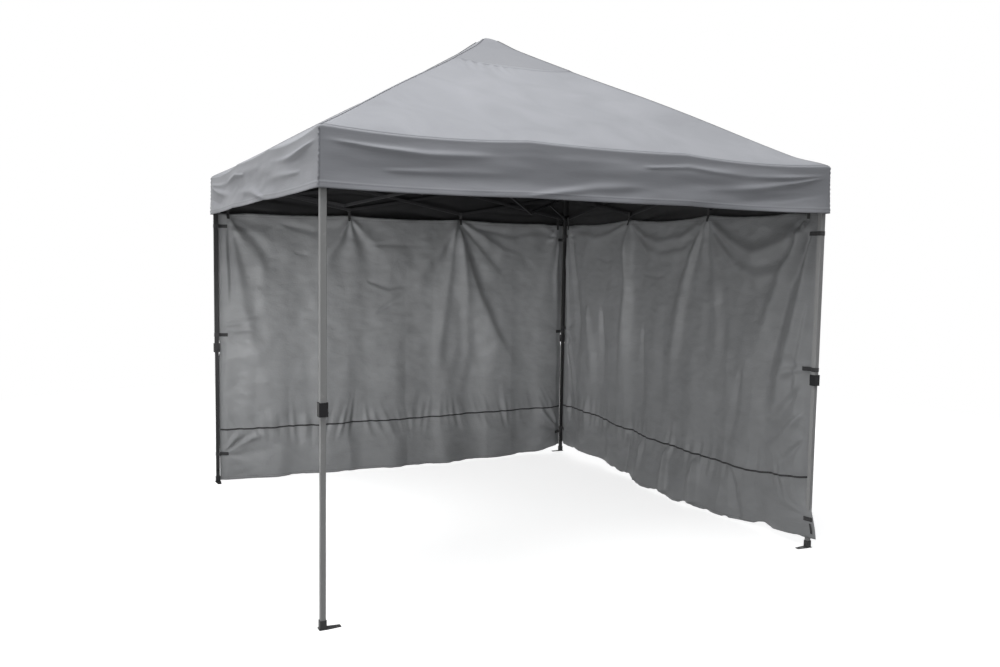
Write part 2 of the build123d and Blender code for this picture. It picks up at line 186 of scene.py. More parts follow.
@dataclass(frozen=True)
class Fold:
    """Ridge (or valley, where depth is negative) along a path on a sheet.

    The right-hand side of the path is as much steeper as sharp says.
    """

    path: tuple[tuple[float, float], ...]
    width: float
    depth: float
    sharp: float = 1.0
    tail: float = 0.45

    def height(self, across: np.ndarray, up: np.ndarray) -> np.ndarray:
        """Height of the fold over the sheet.

        Args:
            across: first coordinate on the sheet, in metres.
            up: second coordinate on the sheet, in metres.

        Returns:
            Metres that the fold stands out at each point.
        """
        points = np.array(self.path)
        steps = np.diff(points, axis=0)
        lengths = np.hypot(steps[:, 0], steps[:, 1])
        starts = np.concatenate(([0.0], np.cumsum(lengths)))
        near = np.full(across.shape, 1e9)
        along = np.zeros(across.shape)
        for point, step, length, start in zip(points, steps, lengths, starts):
            da, du = across - point[0], up - point[1]
            share = np.clip((da * step[0] + du * step[1]) / length**2, 0.0, 1.0)
            off_a, off_u = da - share * step[0], du - share * step[1]
            gap = np.hypot(off_a, off_u)
            side = np.sign(step[0] * off_u - step[1] * off_a)
            closer = gap < np.abs(near)
            near = np.where(closer, np.where(side < 0, -gap, gap), near)
            along = np.where(closer, (start + share * length) / starts[-1], along)
        spread = self.width * (0.4 + 0.6 * ease(along, 0.0, 0.5))
        spread = np.where(near < 0, spread / self.sharp, spread)
        run = ease(along, -0.06, 0.1) * (1 - ease(along, 1 - self.tail, 1.0))
        return self.depth * np.exp(-((near / spread) ** 2)) * run


def link(obj: bpy.types.Object) -> bpy.types.Object:
    """Put an object in the scene and return it."""
    bpy.context.scene.collection.objects.link(obj)
    return obj


def finish_mesh(bm: bmesh.types.BMesh, name: str, *materials: bpy.types.Material) -> bpy.types.Object:
    """Turn a bmesh into a smooth object at the origin.

    Args:
        bm: the mesh, which is freed.
        name: name of the piece.
        materials: its finishes.

    Returns:
        The new object.
    """
    for face in bm.faces:
        face.smooth = True
    mesh = bpy.data.meshes.new(name)
    bm.to_mesh(mesh)
    bm.free()
    for material in materials:
        mesh.materials.append(material)
    LOG.info("made %s", name)
    return link(bpy.data.objects.new(name, mesh))


def finish_sheet(bm: bmesh.types.BMesh, name: str, *materials: bpy.types.Material) -> bpy.types.Object:
    """Turn a bmesh into a piece of cloth with its thickness.

    Args:
        bm: the shaped sheet, which is freed.
        name: name of the piece.
        materials: its outer finish, and its lining where it has one.

    Returns:
        The new object.
    """
    obj = finish_mesh(bm, name, *materials)
    solid = obj.modifiers.new("thickness", "SOLIDIFY")
    solid.thickness = TENT.cloth
    solid.offset = -1
    solid.material_offset = len(materials) - 1
    return obj


def follow(rows: np.ndarray, share: np.ndarray) -> np.ndarray:
    """Read rows of vectors at shares of the way along them.

    Args:
        rows: the vectors.
        share: from 0 at the first row to 1 at the last.

    Returns:
        The vector at each share.
    """
    index = share * (len(rows) - 1)
    return np.stack([np.interp(index, range(len(rows)), column) for column in rows.T], 1)


def shape_grid(columns: int, rows: int, shape: Shape, facing: Vector | None) -> bmesh.types.BMesh:
    """Make a sheet from a grid, with a UV map in metres.

    Args:
        columns: faces across.
        rows: faces down.
        shape: gives the points and the UV metres for s and t from 0 to 1.
        facing: roughly where an open sheet's outer face looks, or None for a closed tube.

    Returns:
        The shaped bmesh.
    """
    bm = bmesh.new()
    bmesh.ops.create_grid(bm, x_segments=columns, y_segments=rows, size=0.5)
    flat = np.array([vert.co[:2] for vert in bm.verts])
    flat = (flat - flat.min(axis=0)) / np.ptp(flat, axis=0)
    points, metres = shape(flat[:, 0], flat[:, 1])
    layer = bm.loops.layers.uv.new("cloth")
    for face in bm.faces:
        for loop in face.loops:
            loop[layer].uv = metres[loop.vert.index]
    for vert, point in zip(bm.verts, points):
        vert.co = point
    bmesh.ops.remove_doubles(bm, verts=bm.verts, dist=1e-5)
    bm.normal_update()
    if facing is None:
        bmesh.ops.recalc_face_normals(bm, faces=bm.faces)
    elif sum((face.normal * face.calc_area() for face in bm.faces), Vector()).dot(facing) < 0:
        bmesh.ops.reverse_faces(bm, faces=bm.faces)
    return bm


def shape_tube(count: int, path: np.ndarray, wide: np.ndarray, high: np.ndarray) -> bmesh.types.BMesh:
    """Make a closed oval tube along a path.

    Args:
        count: faces round the tube.
        path: points of the middle line.
        wide: half width at each point, as rows of vectors.
        high: half height at each point, as rows of vectors.

    Returns:
        The tube's bmesh, with closed ends.
    """

    def wrap(s: np.ndarray, t: np.ndarray) -> tuple[np.ndarray, np.ndarray]:
        """Wrap a grid round the path.

        Args:
            s: share of the way round.
            t: share of the way along.

        Returns:
            The points and their UV metres.
        """
        turn = 2 * math.pi * s
        points = follow(path, t) + follow(wide, t) * np.cos(turn)[:, None]
        points = points + follow(high, t) * np.sin(turn)[:, None]
        return points, np.stack((s * TUBE_UV[0], t * len(path) * TUBE_UV[1]), 1)

    bm = shape_grid(count, len(path) - 1, wrap, None)
    bmesh.ops.holes_fill(bm, edges=[edge for edge in bm.edges if edge.is_boundary], sides=0)
    bmesh.ops.recalc_face_normals(bm, faces=bm.faces)
    return bm


class NodeKit:
    """Small helper that builds a node tree from left to right."""

    def __init__(self, tree: bpy.types.NodeTree) -> None:
        """Keep the tree.

        Args:
            tree: where the nodes go.
        """
        self.tree = tree

    def add(self, kind: str, **settings: object) -> bpy.types.Node:
        """Add a node.

        Args:
            kind: Blender's type name without ShaderNode, or with it.
            settings: attributes of the node, and inputs by name with spaces as underscores.

        Returns:
            The new node.
        """
        node = self.tree.nodes.new(kind if kind.startswith("Node") else "ShaderNode" + kind)
        for name, value in settings.items():
            label = name.replace("_", " ")
            if hasattr(node, name):
                setattr(node, name, value)
            else:
                self.feed(node.inputs[label], value)
        return node

    def feed(self, socket: bpy.types.NodeSocket, value: object) -> None:
        """Link a socket into an input, or set its value.

        Args:
            socket: the input.
            value: an output socket, or a plain value.
        """
        if isinstance(value, bpy.types.NodeSocket):
            self.tree.links.new(value, socket)
        else:
            socket.default_value = value

    def math(self, operation: str, *values: object) -> bpy.types.NodeSocket:
        """Add a Math node.

        Args:
            operation: Blender's name for it.
            values: sockets or numbers for its inputs.

        Returns:
            Its result.
        """
        node = self.add("Math", operation=operation)
        for socket, value in zip(node.inputs, values):
            self.feed(socket, value)
        return node.outputs[0]

    def blend(self, share: object, first: object, second: object) -> bpy.types.NodeSocket:
        """Mix two colours.

        Args:
            share: socket or number from 0 to 1.
            first: colour at 0.
            second: colour at 1.

        Returns:
            The mixed colour.
        """
        node = self.add("Mix", data_type="RGBA")
        self.feed(node.inputs["Factor"], share)
        self.feed(node.inputs["A"], (*first, 1.0) if isinstance(first, tuple) else first)
        self.feed(node.inputs["B"], (*second, 1.0) if isinstance(second, tuple) else second)
        return node.outputs["Result"]

    def mix(
        self, share: object, first: bpy.types.NodeSocket, second: bpy.types.NodeSocket
    ) -> bpy.types.NodeSocket:
        """Mix two shaders.

        Args:
            share: socket or number from 0 to 1.
            first: shader at 0.
            second: shader at 1.

        Returns:
            The mixed shader.
        """
        node = self.add("MixShader")
        for socket, value in zip(node.inputs, (share, first, second)):
            self.feed(socket, value)
        return node.outputs["Shader"]

    def span(
        self, value: object, low: float, high: float, start: float = 0.0, end: float = 1.0
    ) -> bpy.types.NodeSocket:
        """Map a value from start..end to low..high.

        Args:
            value: socket to map.
            low: result at start.
            high: result at end.
            start: value that gives low.
            end: value that gives high.

        Returns:
            The mapped value's socket.
        """
        node = self.add("MapRange", From_Min=start, From_Max=end, To_Min=low, To_Max=high)
        self.feed(node.inputs["Value"], value)
        return node.outputs["Result"]


def new_group(name: str, inputs: dict[str, str], outputs: dict[str, str]) -> tuple[NodeKit, dict, dict]:
    """Start a shader node group.

    Args:
        name: the group's name.
        inputs: socket names and kinds.
        outputs: socket names and kinds.
    """
    tree = bpy.data.node_groups.new(name, "ShaderNodeTree")
    for title, kind in inputs.items():
        tree.interface.new_socket(title, in_out="INPUT", socket_type="NodeSocket" + kind)
    for title, kind in outputs.items():
        tree.interface.new_socket(title, in_out="OUTPUT", socket_type="NodeSocket" + kind)
    kit = NodeKit(tree)
    start = kit.add("NodeGroupInput")
    end = kit.add("NodeGroupOutput")
    return kit, dict(start.outputs.items()), dict(end.inputs.items())


def weave_group() -> bpy.types.NodeTree:
    """Plain weave: threads that pass over and under each other.

    Returns:
        The group, with a Height from 0 to 1.
    """
    kit, source, result = new_group(
        "plain_weave", {"Vector": "Vector", "Scale": "Float"}, {"Height": "Float"}
    )
    warp = kit.add("TexWave", bands_direction="X", Vector=source["Vector"], Scale=source["Scale"])
    weft = kit.add("TexWave", bands_direction="Y", Vector=source["Vector"], Scale=source["Scale"])
    kit.feed(result["Height"], kit.math("MULTIPLY", warp.outputs["Fac"], weft.outputs["Fac"]))
    return kit.tree


def crease_group() -> bpy.types.NodeTree:
    """Small creases and uneven tone of coated cloth.

    Returns:
        The group, with a crease Height and a Tone, both about 0 to 1.
    """
    kit, source, result = new_group(
        "cloth_creases", {"Vector": "Vector", "Scale": "Float"}, {"Height": "Float", "Tone": "Float"}
    )
    broad = kit.add("TexNoise", Vector=source["Vector"], Scale=source["Scale"], Detail=3.0, Distortion=0.6)
    fine_scale = kit.math("MULTIPLY", source["Scale"], 4.3)
    fine = kit.add("TexNoise", Vector=source["Vector"], Scale=fine_scale, Detail=4.0, Distortion=1.2)
    ridge = kit.math("ABSOLUTE", kit.math("SUBTRACT", fine.outputs["Fac"], 0.5))
    sharp = kit.span(ridge, 1.0, 0.0, 0.0, 0.12)
    kit.feed(result["Height"], kit.math("MULTIPLY_ADD", sharp, 0.07, broad.outputs["Fac"]))
    kit.feed(result["Tone"], kit.span(broad.outputs["Fac"], 0.0, 1.0, 0.3, 0.7))
    return kit.tree


def stitch_group() -> bpy.types.NodeTree:
    """Row of stitches along U, at one V.

    Returns:
        The group, with a Mask that is 1 on the thread.
    """
    kit, source, result = new_group("stitch_row", {"Vector": "Vector", "Row": "Float"}, {"Mask": "Float"})
    parts = kit.add("SeparateXYZ", Vector=source["Vector"])
    off = kit.math("ABSOLUTE", kit.math("SUBTRACT", parts.outputs["Y"], source["Row"]))
    line = kit.math("LESS_THAN", off, 0.0011)
    dash = kit.math("GREATER_THAN", kit.math("SINE", kit.math("MULTIPLY", parts.outputs["X"], 1250.0)), -0.5)
    kit.feed(result["Mask"], kit.math("MULTIPLY", line, dash))
    return kit.tree


def grain_group() -> bpy.types.NodeTree:
    """Grain, scuffs and dust of painted or moulded pieces.

    Returns:
        The group, with a grain Height, a Scuff mask and a Dust mask.
    """
    kit, source, result = new_group(
        "surface_grain",
        {"Vector": "Vector", "Scale": "Float"},
        {"Height": "Float", "Scuff": "Float", "Dust": "Float"},
    )
    grain = kit.add("TexVoronoi", feature="SMOOTH_F1", Vector=source["Vector"], Scale=source["Scale"])
    kit.feed(result["Height"], grain.outputs["Distance"])
    scuff = kit.add("TexNoise", Vector=source["Vector"], Scale=38.0, Detail=8.0, Distortion=0.8)
    kit.feed(result["Scuff"], kit.span(scuff.outputs["Fac"], 0.0, 1.0, 0.62, 0.72))
    dust = kit.add("TexNoise", Vector=source["Vector"], Scale=6.0, Detail=5.0)
    kit.feed(result["Dust"], kit.span(dust.outputs["Fac"], 0.0, 1.0, 0.4, 0.75))
    return kit.tree


@dataclass(frozen=True)
class Groups:
    """Effects that several finishes share."""

    weave: bpy.types.NodeTree
    creases: bpy.types.NodeTree
    stitches: bpy.types.NodeTree
    grain: bpy.types.NodeTree

    @classmethod
    def make(cls) -> "Groups":
        """Build each effect once."""
        return cls(weave_group(), crease_group(), stitch_group(), grain_group())


GROUPS = Groups.make()


def toned(colour: Colour, gain: float, lift: float = 0.0) -> Colour:
    """Lighter or darker tone of a colour, with no part above 1."""
    return tuple(min(1.0, gain * part + lift) for part in colour)


def start_material(name: str) -> tuple[bpy.types.Material, NodeKit, bpy.types.Node, bpy.types.Node]:
    """Start a node material with one Principled shader.

    Args:
        name: the material's name.

    Returns:
        The material, its kit, its shader and its output.
    """
    material = bpy.data.materials.new(name)
    material.use_nodes = True
    nodes = material.node_tree.nodes
    return material, NodeKit(material.node_tree), nodes["Principled BSDF"], nodes["Material Output"]


@dataclass(frozen=True)
class ClothFinish:
    """Coated polyester cloth."""

    name: str
    colour: Colour
    roughness: float = 0.62
    sheen: float = 0.15
    thread_scale: float = 300.0
    crease_scale: float = 5.0
    crease_depth: float = 0.003
    crease_stretch: float = 1.0
    shows_light: float = 0.0
    rows: tuple[float, ...] = ()
    cap: tuple[float, float] | None = None
    tone_shares: tuple[float, float] = (0.93, 1.06)
    doubled_share: float = 0.83
    thread_share: float = 0.45
    roughness_step: float = 0.06
    specular: float = 0.45
    crease_strength: float = 0.7
    thread_strength: float = 0.25
    thread_depth: float = 0.0002

    def material(self) -> bpy.types.Material:
        """Build the cloth from its weave, creases and stitch rows.

        Returns:
            The new material.
        """
        material, kit, shader, output = start_material(self.name)
        place = kit.add("UVMap", uv_map="cloth").outputs["UV"]
        weave = kit.add("Group", node_tree=GROUPS.weave, Vector=place, Scale=self.thread_scale)
        drawn = kit.add("Mapping", Vector=place, Scale=(1 / self.crease_stretch, 1.0, 1.0)).outputs["Vector"]
        creases = kit.add("Group", node_tree=GROUPS.creases, Vector=drawn, Scale=self.crease_scale)
        dark, light = (toned(self.colour, share) for share in self.tone_shares)
        colour = kit.blend(creases.outputs["Tone"], dark, light)
        if self.cap:
            down = kit.add("SeparateXYZ", Vector=place).outputs["Y"]
            doubled = toned(self.colour, self.doubled_share)
            colour = kit.blend(kit.span(down, 1.0, 0.0, *self.cap), colour, doubled)
        thread = toned(self.colour, self.thread_share)
        for row in self.rows:
            stitches = kit.add("Group", node_tree=GROUPS.stitches, Vector=place, Row=row)
            colour = kit.blend(stitches.outputs["Mask"], colour, thread)
        kit.feed(shader.inputs["Base Color"], colour)
        dull, smooth = self.roughness + self.roughness_step, self.roughness - self.roughness_step
        rough = kit.span(creases.outputs["Tone"], dull, smooth)
        kit.feed(shader.inputs["Roughness"], rough)
        shader.inputs["Sheen Weight"].default_value = self.sheen
        shader.inputs["Sheen Roughness"].default_value = 0.5
        shader.inputs["Specular IOR Level"].default_value = self.specular
        folds = kit.add("Bump", Strength=self.crease_strength, Distance=self.crease_depth)
        kit.feed(folds.inputs["Height"], creases.outputs["Height"])
        threads = kit.add("Bump", Strength=self.thread_strength, Distance=self.thread_depth)
        kit.feed(threads.inputs["Height"], weave.outputs["Height"])
        kit.feed(threads.inputs["Normal"], folds.outputs["Normal"])
        kit.feed(shader.inputs["Normal"], threads.outputs["Normal"])
        if self.shows_light:
            glow = kit.add("BsdfTranslucent", Color=colour, Normal=folds.outputs["Normal"])
            both = kit.mix(self.shows_light, shader.outputs["BSDF"], glow.outputs["BSDF"])
            kit.feed(output.inputs["Surface"], both)
        return material


@dataclass(frozen=True)
class WebbingFinish:
    """Woven black webbing and sewn-in piping."""

    name: str
    colour: Colour
    rib_scale: float = 120.0
    rib_depth: float = 0.0006
    grain_scale: float = 400.0
    lit_rib_gain: float = 2.2
    roughness: tuple[float, float] = (0.62, 0.82)
    sheen: float = 0.2

    def material(self) -> bpy.types.Material:
        """Build the webbing from its ribs.

        Returns:
            The new material.
        """
        material, kit, shader, _ = start_material(self.name)
        place = kit.add("TexCoord").outputs["Object"]
        weave = kit.add("Group", node_tree=GROUPS.weave, Vector=place, Scale=self.rib_scale)
        grain = kit.add("Group", node_tree=GROUPS.grain, Vector=place, Scale=self.grain_scale)
        # Rib tops lighter and the dips between the ribs darker: painted shade of the weave, on top of its
        # bump.
        worn_and_lit_tone = toned(self.colour, self.lit_rib_gain)
        shade = kit.span(weave.outputs["Height"], 0.0, 0.6)
        kit.feed(shader.inputs["Base Color"], kit.blend(shade, self.colour, worn_and_lit_tone))
        kit.feed(shader.inputs["Roughness"], kit.span(grain.outputs["Dust"], *self.roughness))
        bump = kit.add("Bump", Strength=0.6, Distance=self.rib_depth, Height=weave.outputs["Height"])
        kit.feed(shader.inputs["Normal"], bump.outputs["Normal"])
        shader.inputs["Sheen Weight"].default_value = self.sheen
        return material


class Trim(Enum):
    """Where a frame node has a second finish."""

    NONE = "none"
    FITTINGS = "fittings"
    FOOT = "foot"


@dataclass(frozen=True)
class FrameFinish:
    """Painted tube or moulded plastic, with a second colour on its fittings."""

    name: str
    colour: Colour
    roughness: float
    metallic: float = 0.0
    grain_scale: float = 900.0
    grain_depth: float = 0.0002
    trim: Trim = Trim.NONE
    trim_gap: float = 0.0002
    trim_colour: Colour = (0.004, 0.004, 0.005)
    trim_dusty: tuple[float, float] = (1.5, 0.004)
    worn_and_lit_tone: tuple[float, float] = (1.25, 0.02)
    dusty: tuple[float, float] = (0.85, 0.03)
    scuff_share: float = 0.5
    dust_share: float = 0.35
    specular: float = 0.25

    def trim_mask(self, kit: NodeKit, place: bpy.types.NodeSocket) -> bpy.types.NodeSocket | None:
        """Mask that is 1 on the fittings of a leg.

        Args:
            kit: the material's kit.
            place: Object coordinates.

        Returns:
            The mask, or None where the node has one finish.
        """
        if self.trim is Trim.NONE:
            return None
        parts = kit.add("SeparateXYZ", Vector=place)
        if self.trim is Trim.FOOT:
            return kit.math("LESS_THAN", parts.outputs["Z"], TENT.foot_top)
        offs = []
        for axis in ("X", "Y"):
            from_leg = kit.math("SUBTRACT", kit.math("ABSOLUTE", parts.outputs[axis]), TENT.leg)
            offs.append(kit.math("ABSOLUTE", from_leg))
        outside = kit.math("GREATER_THAN", kit.math("MAXIMUM", *offs), TENT.upper_tube / 2 + self.trim_gap)
        cap = kit.math("GREATER_THAN", parts.outputs["Z"], TENT.bracket_cap)
        return kit.math("MAXIMUM", outside, cap)

    def material(self) -> bpy.types.Material:
        """Build the finish from its grain, scuffs and dust.

        Returns:
            The new material.
        """
        material, kit, shader, _ = start_material(self.name)
        place = kit.add("TexCoord").outputs["Object"]
        grain = kit.add("Group", node_tree=GROUPS.grain, Vector=place, Scale=self.grain_scale)
        worn_and_lit_tone, dusty = toned(self.colour, *self.worn_and_lit_tone), toned(self.colour, *self.dusty)
        scuffs = kit.math("MULTIPLY", grain.outputs["Scuff"], self.scuff_share)
        dust = kit.math("MULTIPLY", grain.outputs["Dust"], self.dust_share)
        colour = kit.blend(dust, kit.blend(scuffs, self.colour, worn_and_lit_tone), dusty)
        mask = self.trim_mask(kit, place)
        rough = kit.span(grain.outputs["Dust"], self.roughness - 0.05, self.roughness + 0.1)
        if mask is not None:
            dusty_trim = toned(self.trim_colour, *self.trim_dusty)
            colour = kit.blend(mask, colour, kit.blend(grain.outputs["Dust"], self.trim_colour, dusty_trim))
        kit.feed(shader.inputs["Base Color"], colour)
        kit.feed(shader.inputs["Roughness"], rough)
        shader.inputs["Metallic"].default_value = self.metallic
        shader.inputs["Specular IOR Level"].default_value = self.specular
        bump = kit.add("Bump", Strength=0.5, Distance=self.grain_depth, Height=grain.outputs["Height"])
        kit.feed(shader.inputs["Normal"], bump.outputs["Normal"])
        return material


ROOF_COLOUR = (0.305, 0.312, 0.338)
ROOF_CLOTH = ClothFinish("roof_cloth", ROOF_COLOUR, crease_scale=3.0, rows=(0.462, 0.468), cap=(0.44, 0.51))
VALANCE_CLOTH = ClothFinish("valance_cloth", ROOF_COLOUR, crease_stretch=4.0, rows=(0.022, 0.026))
# Near-black lining under the roof and valances: a dark coating, made darker still as painted shade under the
# roof.
LINING_AND_PAINTED_SHADE = ClothFinish("roof_lining", (0.007, 0.007, 0.008), roughness=0.85)
# The walls are the same cloth as the roof, but with a lighter colour: painted light for part of their glow,
# beside the real light that shows through them (shows_light).
WALL_CLOTH_AND_PAINTED_LIGHT = ClothFinish(
    "wall_cloth",
    (0.358, 0.364, 0.372),
    roughness=0.42,
    crease_scale=8.0,
    crease_depth=0.009,
    crease_stretch=1.6,
    shows_light=0.28,
    rows=(0.03, 1.975),
)
WEBBING = WebbingFinish("black_webbing", (0.012, 0.012, 0.013))
LEG_GREY = (0.37, 0.37, 0.37)
LEG_PAINT = FrameFinish("leg_paint", LEG_GREY, 0.55, trim=Trim.FITTINGS)
LOWER_PAINT = FrameFinish("lower_leg_paint", LEG_GREY, 0.55, trim=Trim.FOOT, trim_colour=(0.05, 0.05, 0.05))
# Near-black copy of the grey leg paint for the back legs: painted shade, for the shade they stand in inside
# the tent.
BACK_LEG_PAINTED_SHADE = FrameFinish("back_leg_painted_shade", (0.018, 0.018, 0.019), 0.55)
# Near-black paint on the trusses, arms, struts and pole: painted shade, for the shade under the roof where
# they stand.
TRUSS_PAINTED_SHADE = FrameFinish("truss_paint", (0.022, 0.022, 0.024), 0.55)
MOULDING = FrameFinish("black_moulding", (0.012, 0.012, 0.013), 0.5, grain_scale=1500.0)


@dataclass
class Roof:
    """Cloth roof: four slopes that meet at the hips, with their valances and seams."""

    tip_round: float = 0.016
    tip_lift: float = 0.003
    tip_fade: tuple[float, float] = (0.04, 0.3)
    knob_dip: float = 0.017
    knob_start: tuple[float, float] = (0.03, 0.16)
    knob_end: tuple[float, float] = (0.35, 1.1)
    eave_round: float = 0.014
    lap_at: float = 0.28
    lap_share: float = 0.268
    lap_sag: float = 0.026
    lap_step: float = 0.0028
    belly: float = 0.016
    bay_sag: float = 0.021
    middle_sag: float = 0.008
    hem_band: float = 0.030
    hem_turn: float = 0.02
    hem_flare: float = 0.006
    hem_step: float = 0.0011
    hem_sag_share: float = 0.65
    swell: tuple[float, float] = (0.004, 0.014)
    swell_waves: tuple[float, float] = (0.0075, 0.0020)
    swell_floor: float = 0.003
    slope_waves: tuple[Waves, ...] = (Waves(0.0035, (0.45, 0.3), 0.3), Waves(0.0012, (0.09, 0.16), 4.7))
    pucker_height: float = 0.0042
    eave_share: float = 0.14
    seam_half: tuple[float, float] = (0.006, 0.0011)
    slope_faces: tuple[int, int] = (150, 110)
    valance_faces: tuple[int, int] = (260, 44)
    hip_sag: dict[str, float] = field(
        default_factory=lambda: {
            "front_left": 0.004,
            "front_right": 0.024,
            "back_right": 0.014,
            "back_left": 0.010,
        }
    )
    valance_folds: tuple[Fold, ...] = (
        Fold(((1.45, 0.06), (0.95, 0.13), (0.35, 0.19)), 0.022, 0.015, tail=0.7),
        Fold(((1.47, 0.045), (1.15, 0.06), (0.7, 0.075)), 0.014, 0.011, tail=0.7),
        Fold(((1.46, 0.15), (1.05, 0.19), (0.6, 0.24)), 0.020, -0.012, tail=0.7),
        Fold(((-1.46, 0.05), (-1.0, 0.07), (-0.45, 0.06)), 0.016, 0.012, tail=0.7),
        Fold(((-1.2, 0.16), (-0.8, 0.145), (-0.4, 0.16)), 0.020, 0.009, tail=0.6),
        Fold(((-0.47, 0.25), (-0.1, 0.19), (0.4, 0.16)), 0.022, 0.011, tail=0.6),
        Fold(((0.2, 0.07), (0.5, 0.055), (0.95, 0.07)), 0.014, 0.009, tail=0.6),
    )

    def slope_angle(self) -> float:
        """Angle of the slopes below level, in radians."""
        return math.atan(TENT.pitch)

    def slope_end(self) -> float:
        """Outward distance where a slope gives way to the rounded eave."""
        return TENT.edge - self.eave_round * (1 - math.sin(self.slope_angle()))

    def eave_sag(self, across: np.ndarray) -> np.ndarray:
        """Drop of the eave between the legs and the upper truss joints.

        Args:
            across: distance along the side from its middle.

        Returns:
            Metres below the straight eave.
        """
        off = np.abs(across)
        bay = np.clip((off - TENT.joint_across) / (TENT.leg - TENT.joint_across), 0, 1)
        middle = np.clip(1 - (off / TENT.joint_across) ** 2, 0, 1)
        return self.bay_sag * 4 * bay * (1 - bay) + self.middle_sag * middle

    def ridge(self, out: np.ndarray) -> np.ndarray:
        """Height of a hip line before it sags.

        Args:
            out: distance outwards from the peak.

        Returns:
            Heights, with a rounded tip that stands out above the slopes.
        """
        fade = 1 - ease(out, *self.tip_fade)
        dip = self.knob_dip * ease(out, *self.knob_start) * (1 - ease(out, *self.knob_end))
        rounded = np.sqrt(out**2 + (self.tip_round * fade) ** 2)
        return TENT.peak + self.tip_lift * fade - TENT.pitch * rounded - dip

    def hip_dip(self, share: np.ndarray) -> np.ndarray:
        """Shape of the dip before a corner, from 0 to 1, along the share of the hip."""
        return ease(share, 0.45, 0.9) * (1 - ease(share, 0.9, 1.0))

    def slope_shape(self, side: Side) -> Shape:
        """Shape of one slope.

        Args:
            side: which side it covers.

        Returns:
            The function that a grid is shaped with.
        """
        left, right = (self.hip_sag[corner] for corner in side.corners)
        slant = math.hypot(1, TENT.pitch)

        def shape(s: np.ndarray, t: np.ndarray) -> tuple[np.ndarray, np.ndarray]:
            """Shape the slope from the peak to the eave.

            Args:
                s: share of the way across.
                t: share of the way down.

            Returns:
                The points and their UV metres.
            """
            across = 2 * s - 1
            near_lap = [self.lap_at + step for step in (-0.006, -0.0004, 0.0004, 0.006)]
            marks = np.interp(t, (0, 0.34, 0.355, 0.365, 0.38, 1), (0, *near_lap, 1))
            lap = self.lap_share + self.lap_sag * (1 - across**2)
            below = lap + (marks - self.lap_at) * (1 - lap) / (1 - self.lap_at)
            share = np.where(marks < self.lap_at, marks * lap / self.lap_at, below)
            out = share * self.slope_end()
            along = across * out
            inner = (1 - across**2) * ease(share, 0.05, 0.15)
            free = inner * (1 - ease(share, 0.9, 1.0))
            drop = np.where(across < 0, left, right) * np.abs(across) ** 5 * self.hip_dip(share)
            drop = drop + self.eave_sag(across * TENT.edge) * share**5
            drop = drop + self.belly * inner * np.sin(math.pi * share)
            lift = sum(waves.height(along, out, side.value) * free for waves in self.slope_waves)
            past_lap = np.clip(share - lap, 0, 1)
            pucker = np.exp(-((past_lap / 0.05) ** 2)) * (marks >= self.lap_at)
            gather = ease(-across, -0.2, 0.5) * (1 - ease(-across, 0.85, 1.0))
            ripples = np.sin(along * 95 + 3.0 * crumple(along, out, (0.2, 0.2), side.value + 8.1))
            lift = lift + self.pucker_height * ripples * pucker * gather
            lift = lift + self.lap_step * (marks < self.lap_at) * ease(share, 0.0, 0.12)
            height = self.ridge(out) - drop + lift
            points = np.stack((along, -out, height), 1)
            return side.place(points), np.stack((along, out * slant), 1)

        return shape

    def valance_shape(self, side: Side) -> Shape:
        """Shape of one valance, from the rounded eave to its hem.

        Args:
            side: which side it hangs on.

        Returns:
            The function that a grid is shaped with.
        """
        angle = self.slope_angle()
        centre = TENT.edge - self.eave_round
        arc_top = TENT.peak - TENT.pitch * self.slope_end() - self.eave_round * math.cos(angle)
        hem = TENT.eave - TENT.valance
        fall = arc_top - hem

        def shape(s: np.ndarray, t: np.ndarray) -> tuple[np.ndarray, np.ndarray]:
            """Shape the valance round the eave and down to its hem.

            Args:
                s: share of the way across.
                t: share of the way down.

            Returns:
                The points and their UV metres.
            """
            across = 2 * s - 1
            turn = np.clip(t / self.eave_share, 0, 1) * (math.pi / 2 - angle) + angle
            marks = np.clip((t - self.eave_share) / (1 - self.eave_share), 0, 1)
            band = 1 - self.hem_band / fall
            near_band = [band + step for step in (-0.008, -0.001, 0.001)]
            down = np.interp(marks, (0, 0.86, 0.875, 0.89, 1), (0, *near_band, 1))
            out = centre + self.eave_round * np.sin(turn) + self.hem_flare * down**2
            height = arc_top + self.eave_round * np.cos(turn) - down * fall
            along = across * out
            free = 1 - np.abs(across) ** 14
            hang = ease(down, 0.0, 0.25)
            height = height - self.eave_sag(across * TENT.edge) * (1 - self.hem_sag_share * down)
            waves = crumple(along, height, (0.55, 0.10), side.value * 3.1 + 0.9)
            small = crumple(along, height, (0.16, 0.045), side.value * 5.3 + 2.2)
            swell = self.swell[0] + self.swell[1] * ease(down, 0.5, 1.0)
            swell = swell + self.swell_waves[0] * waves + self.swell_waves[1] * small
            flip = 1 if side in (Side.FRONT, Side.BACK) else -1
            for fold in self.valance_folds:
                swell = swell + fold.height(along * flip, down * fall)
            swell = (swell + np.sqrt(swell**2 + self.swell_floor**2)) / 2
            out = out + swell * hang * free + self.hem_step * (down > band)
            points = np.stack((along, -out, height), 1)
            return side.place(points), np.stack((along, (1 - down) * fall), 1)

        return shape

    def hip_seam(self, side: Side) -> bmesh.types.BMesh:
        """Felled seam along the hip at a side's second corner.

        Args:
            side: the side that the seam belongs to.

        Returns:
            The seam's bmesh.
        """
        share = np.linspace(0.035, 1.0, 90)
        out = share * self.slope_end()
        step = self.lap_step * (share < self.lap_share)
        drop = self.hip_sag[side.corners[1]] * self.hip_dip(share)
        path = np.stack((out, -out, self.ridge(out) - drop + step - 0.0002), 1)
        across = np.tile(np.array((1, 1, 0)) / math.sqrt(2) * self.seam_half[0], (len(share), 1))
        up = np.tile(np.array((0.35, -0.35, 0.87)) * self.seam_half[1], (len(share), 1))
        return shape_tube(8, side.place(path), side.place(across), side.place(up))

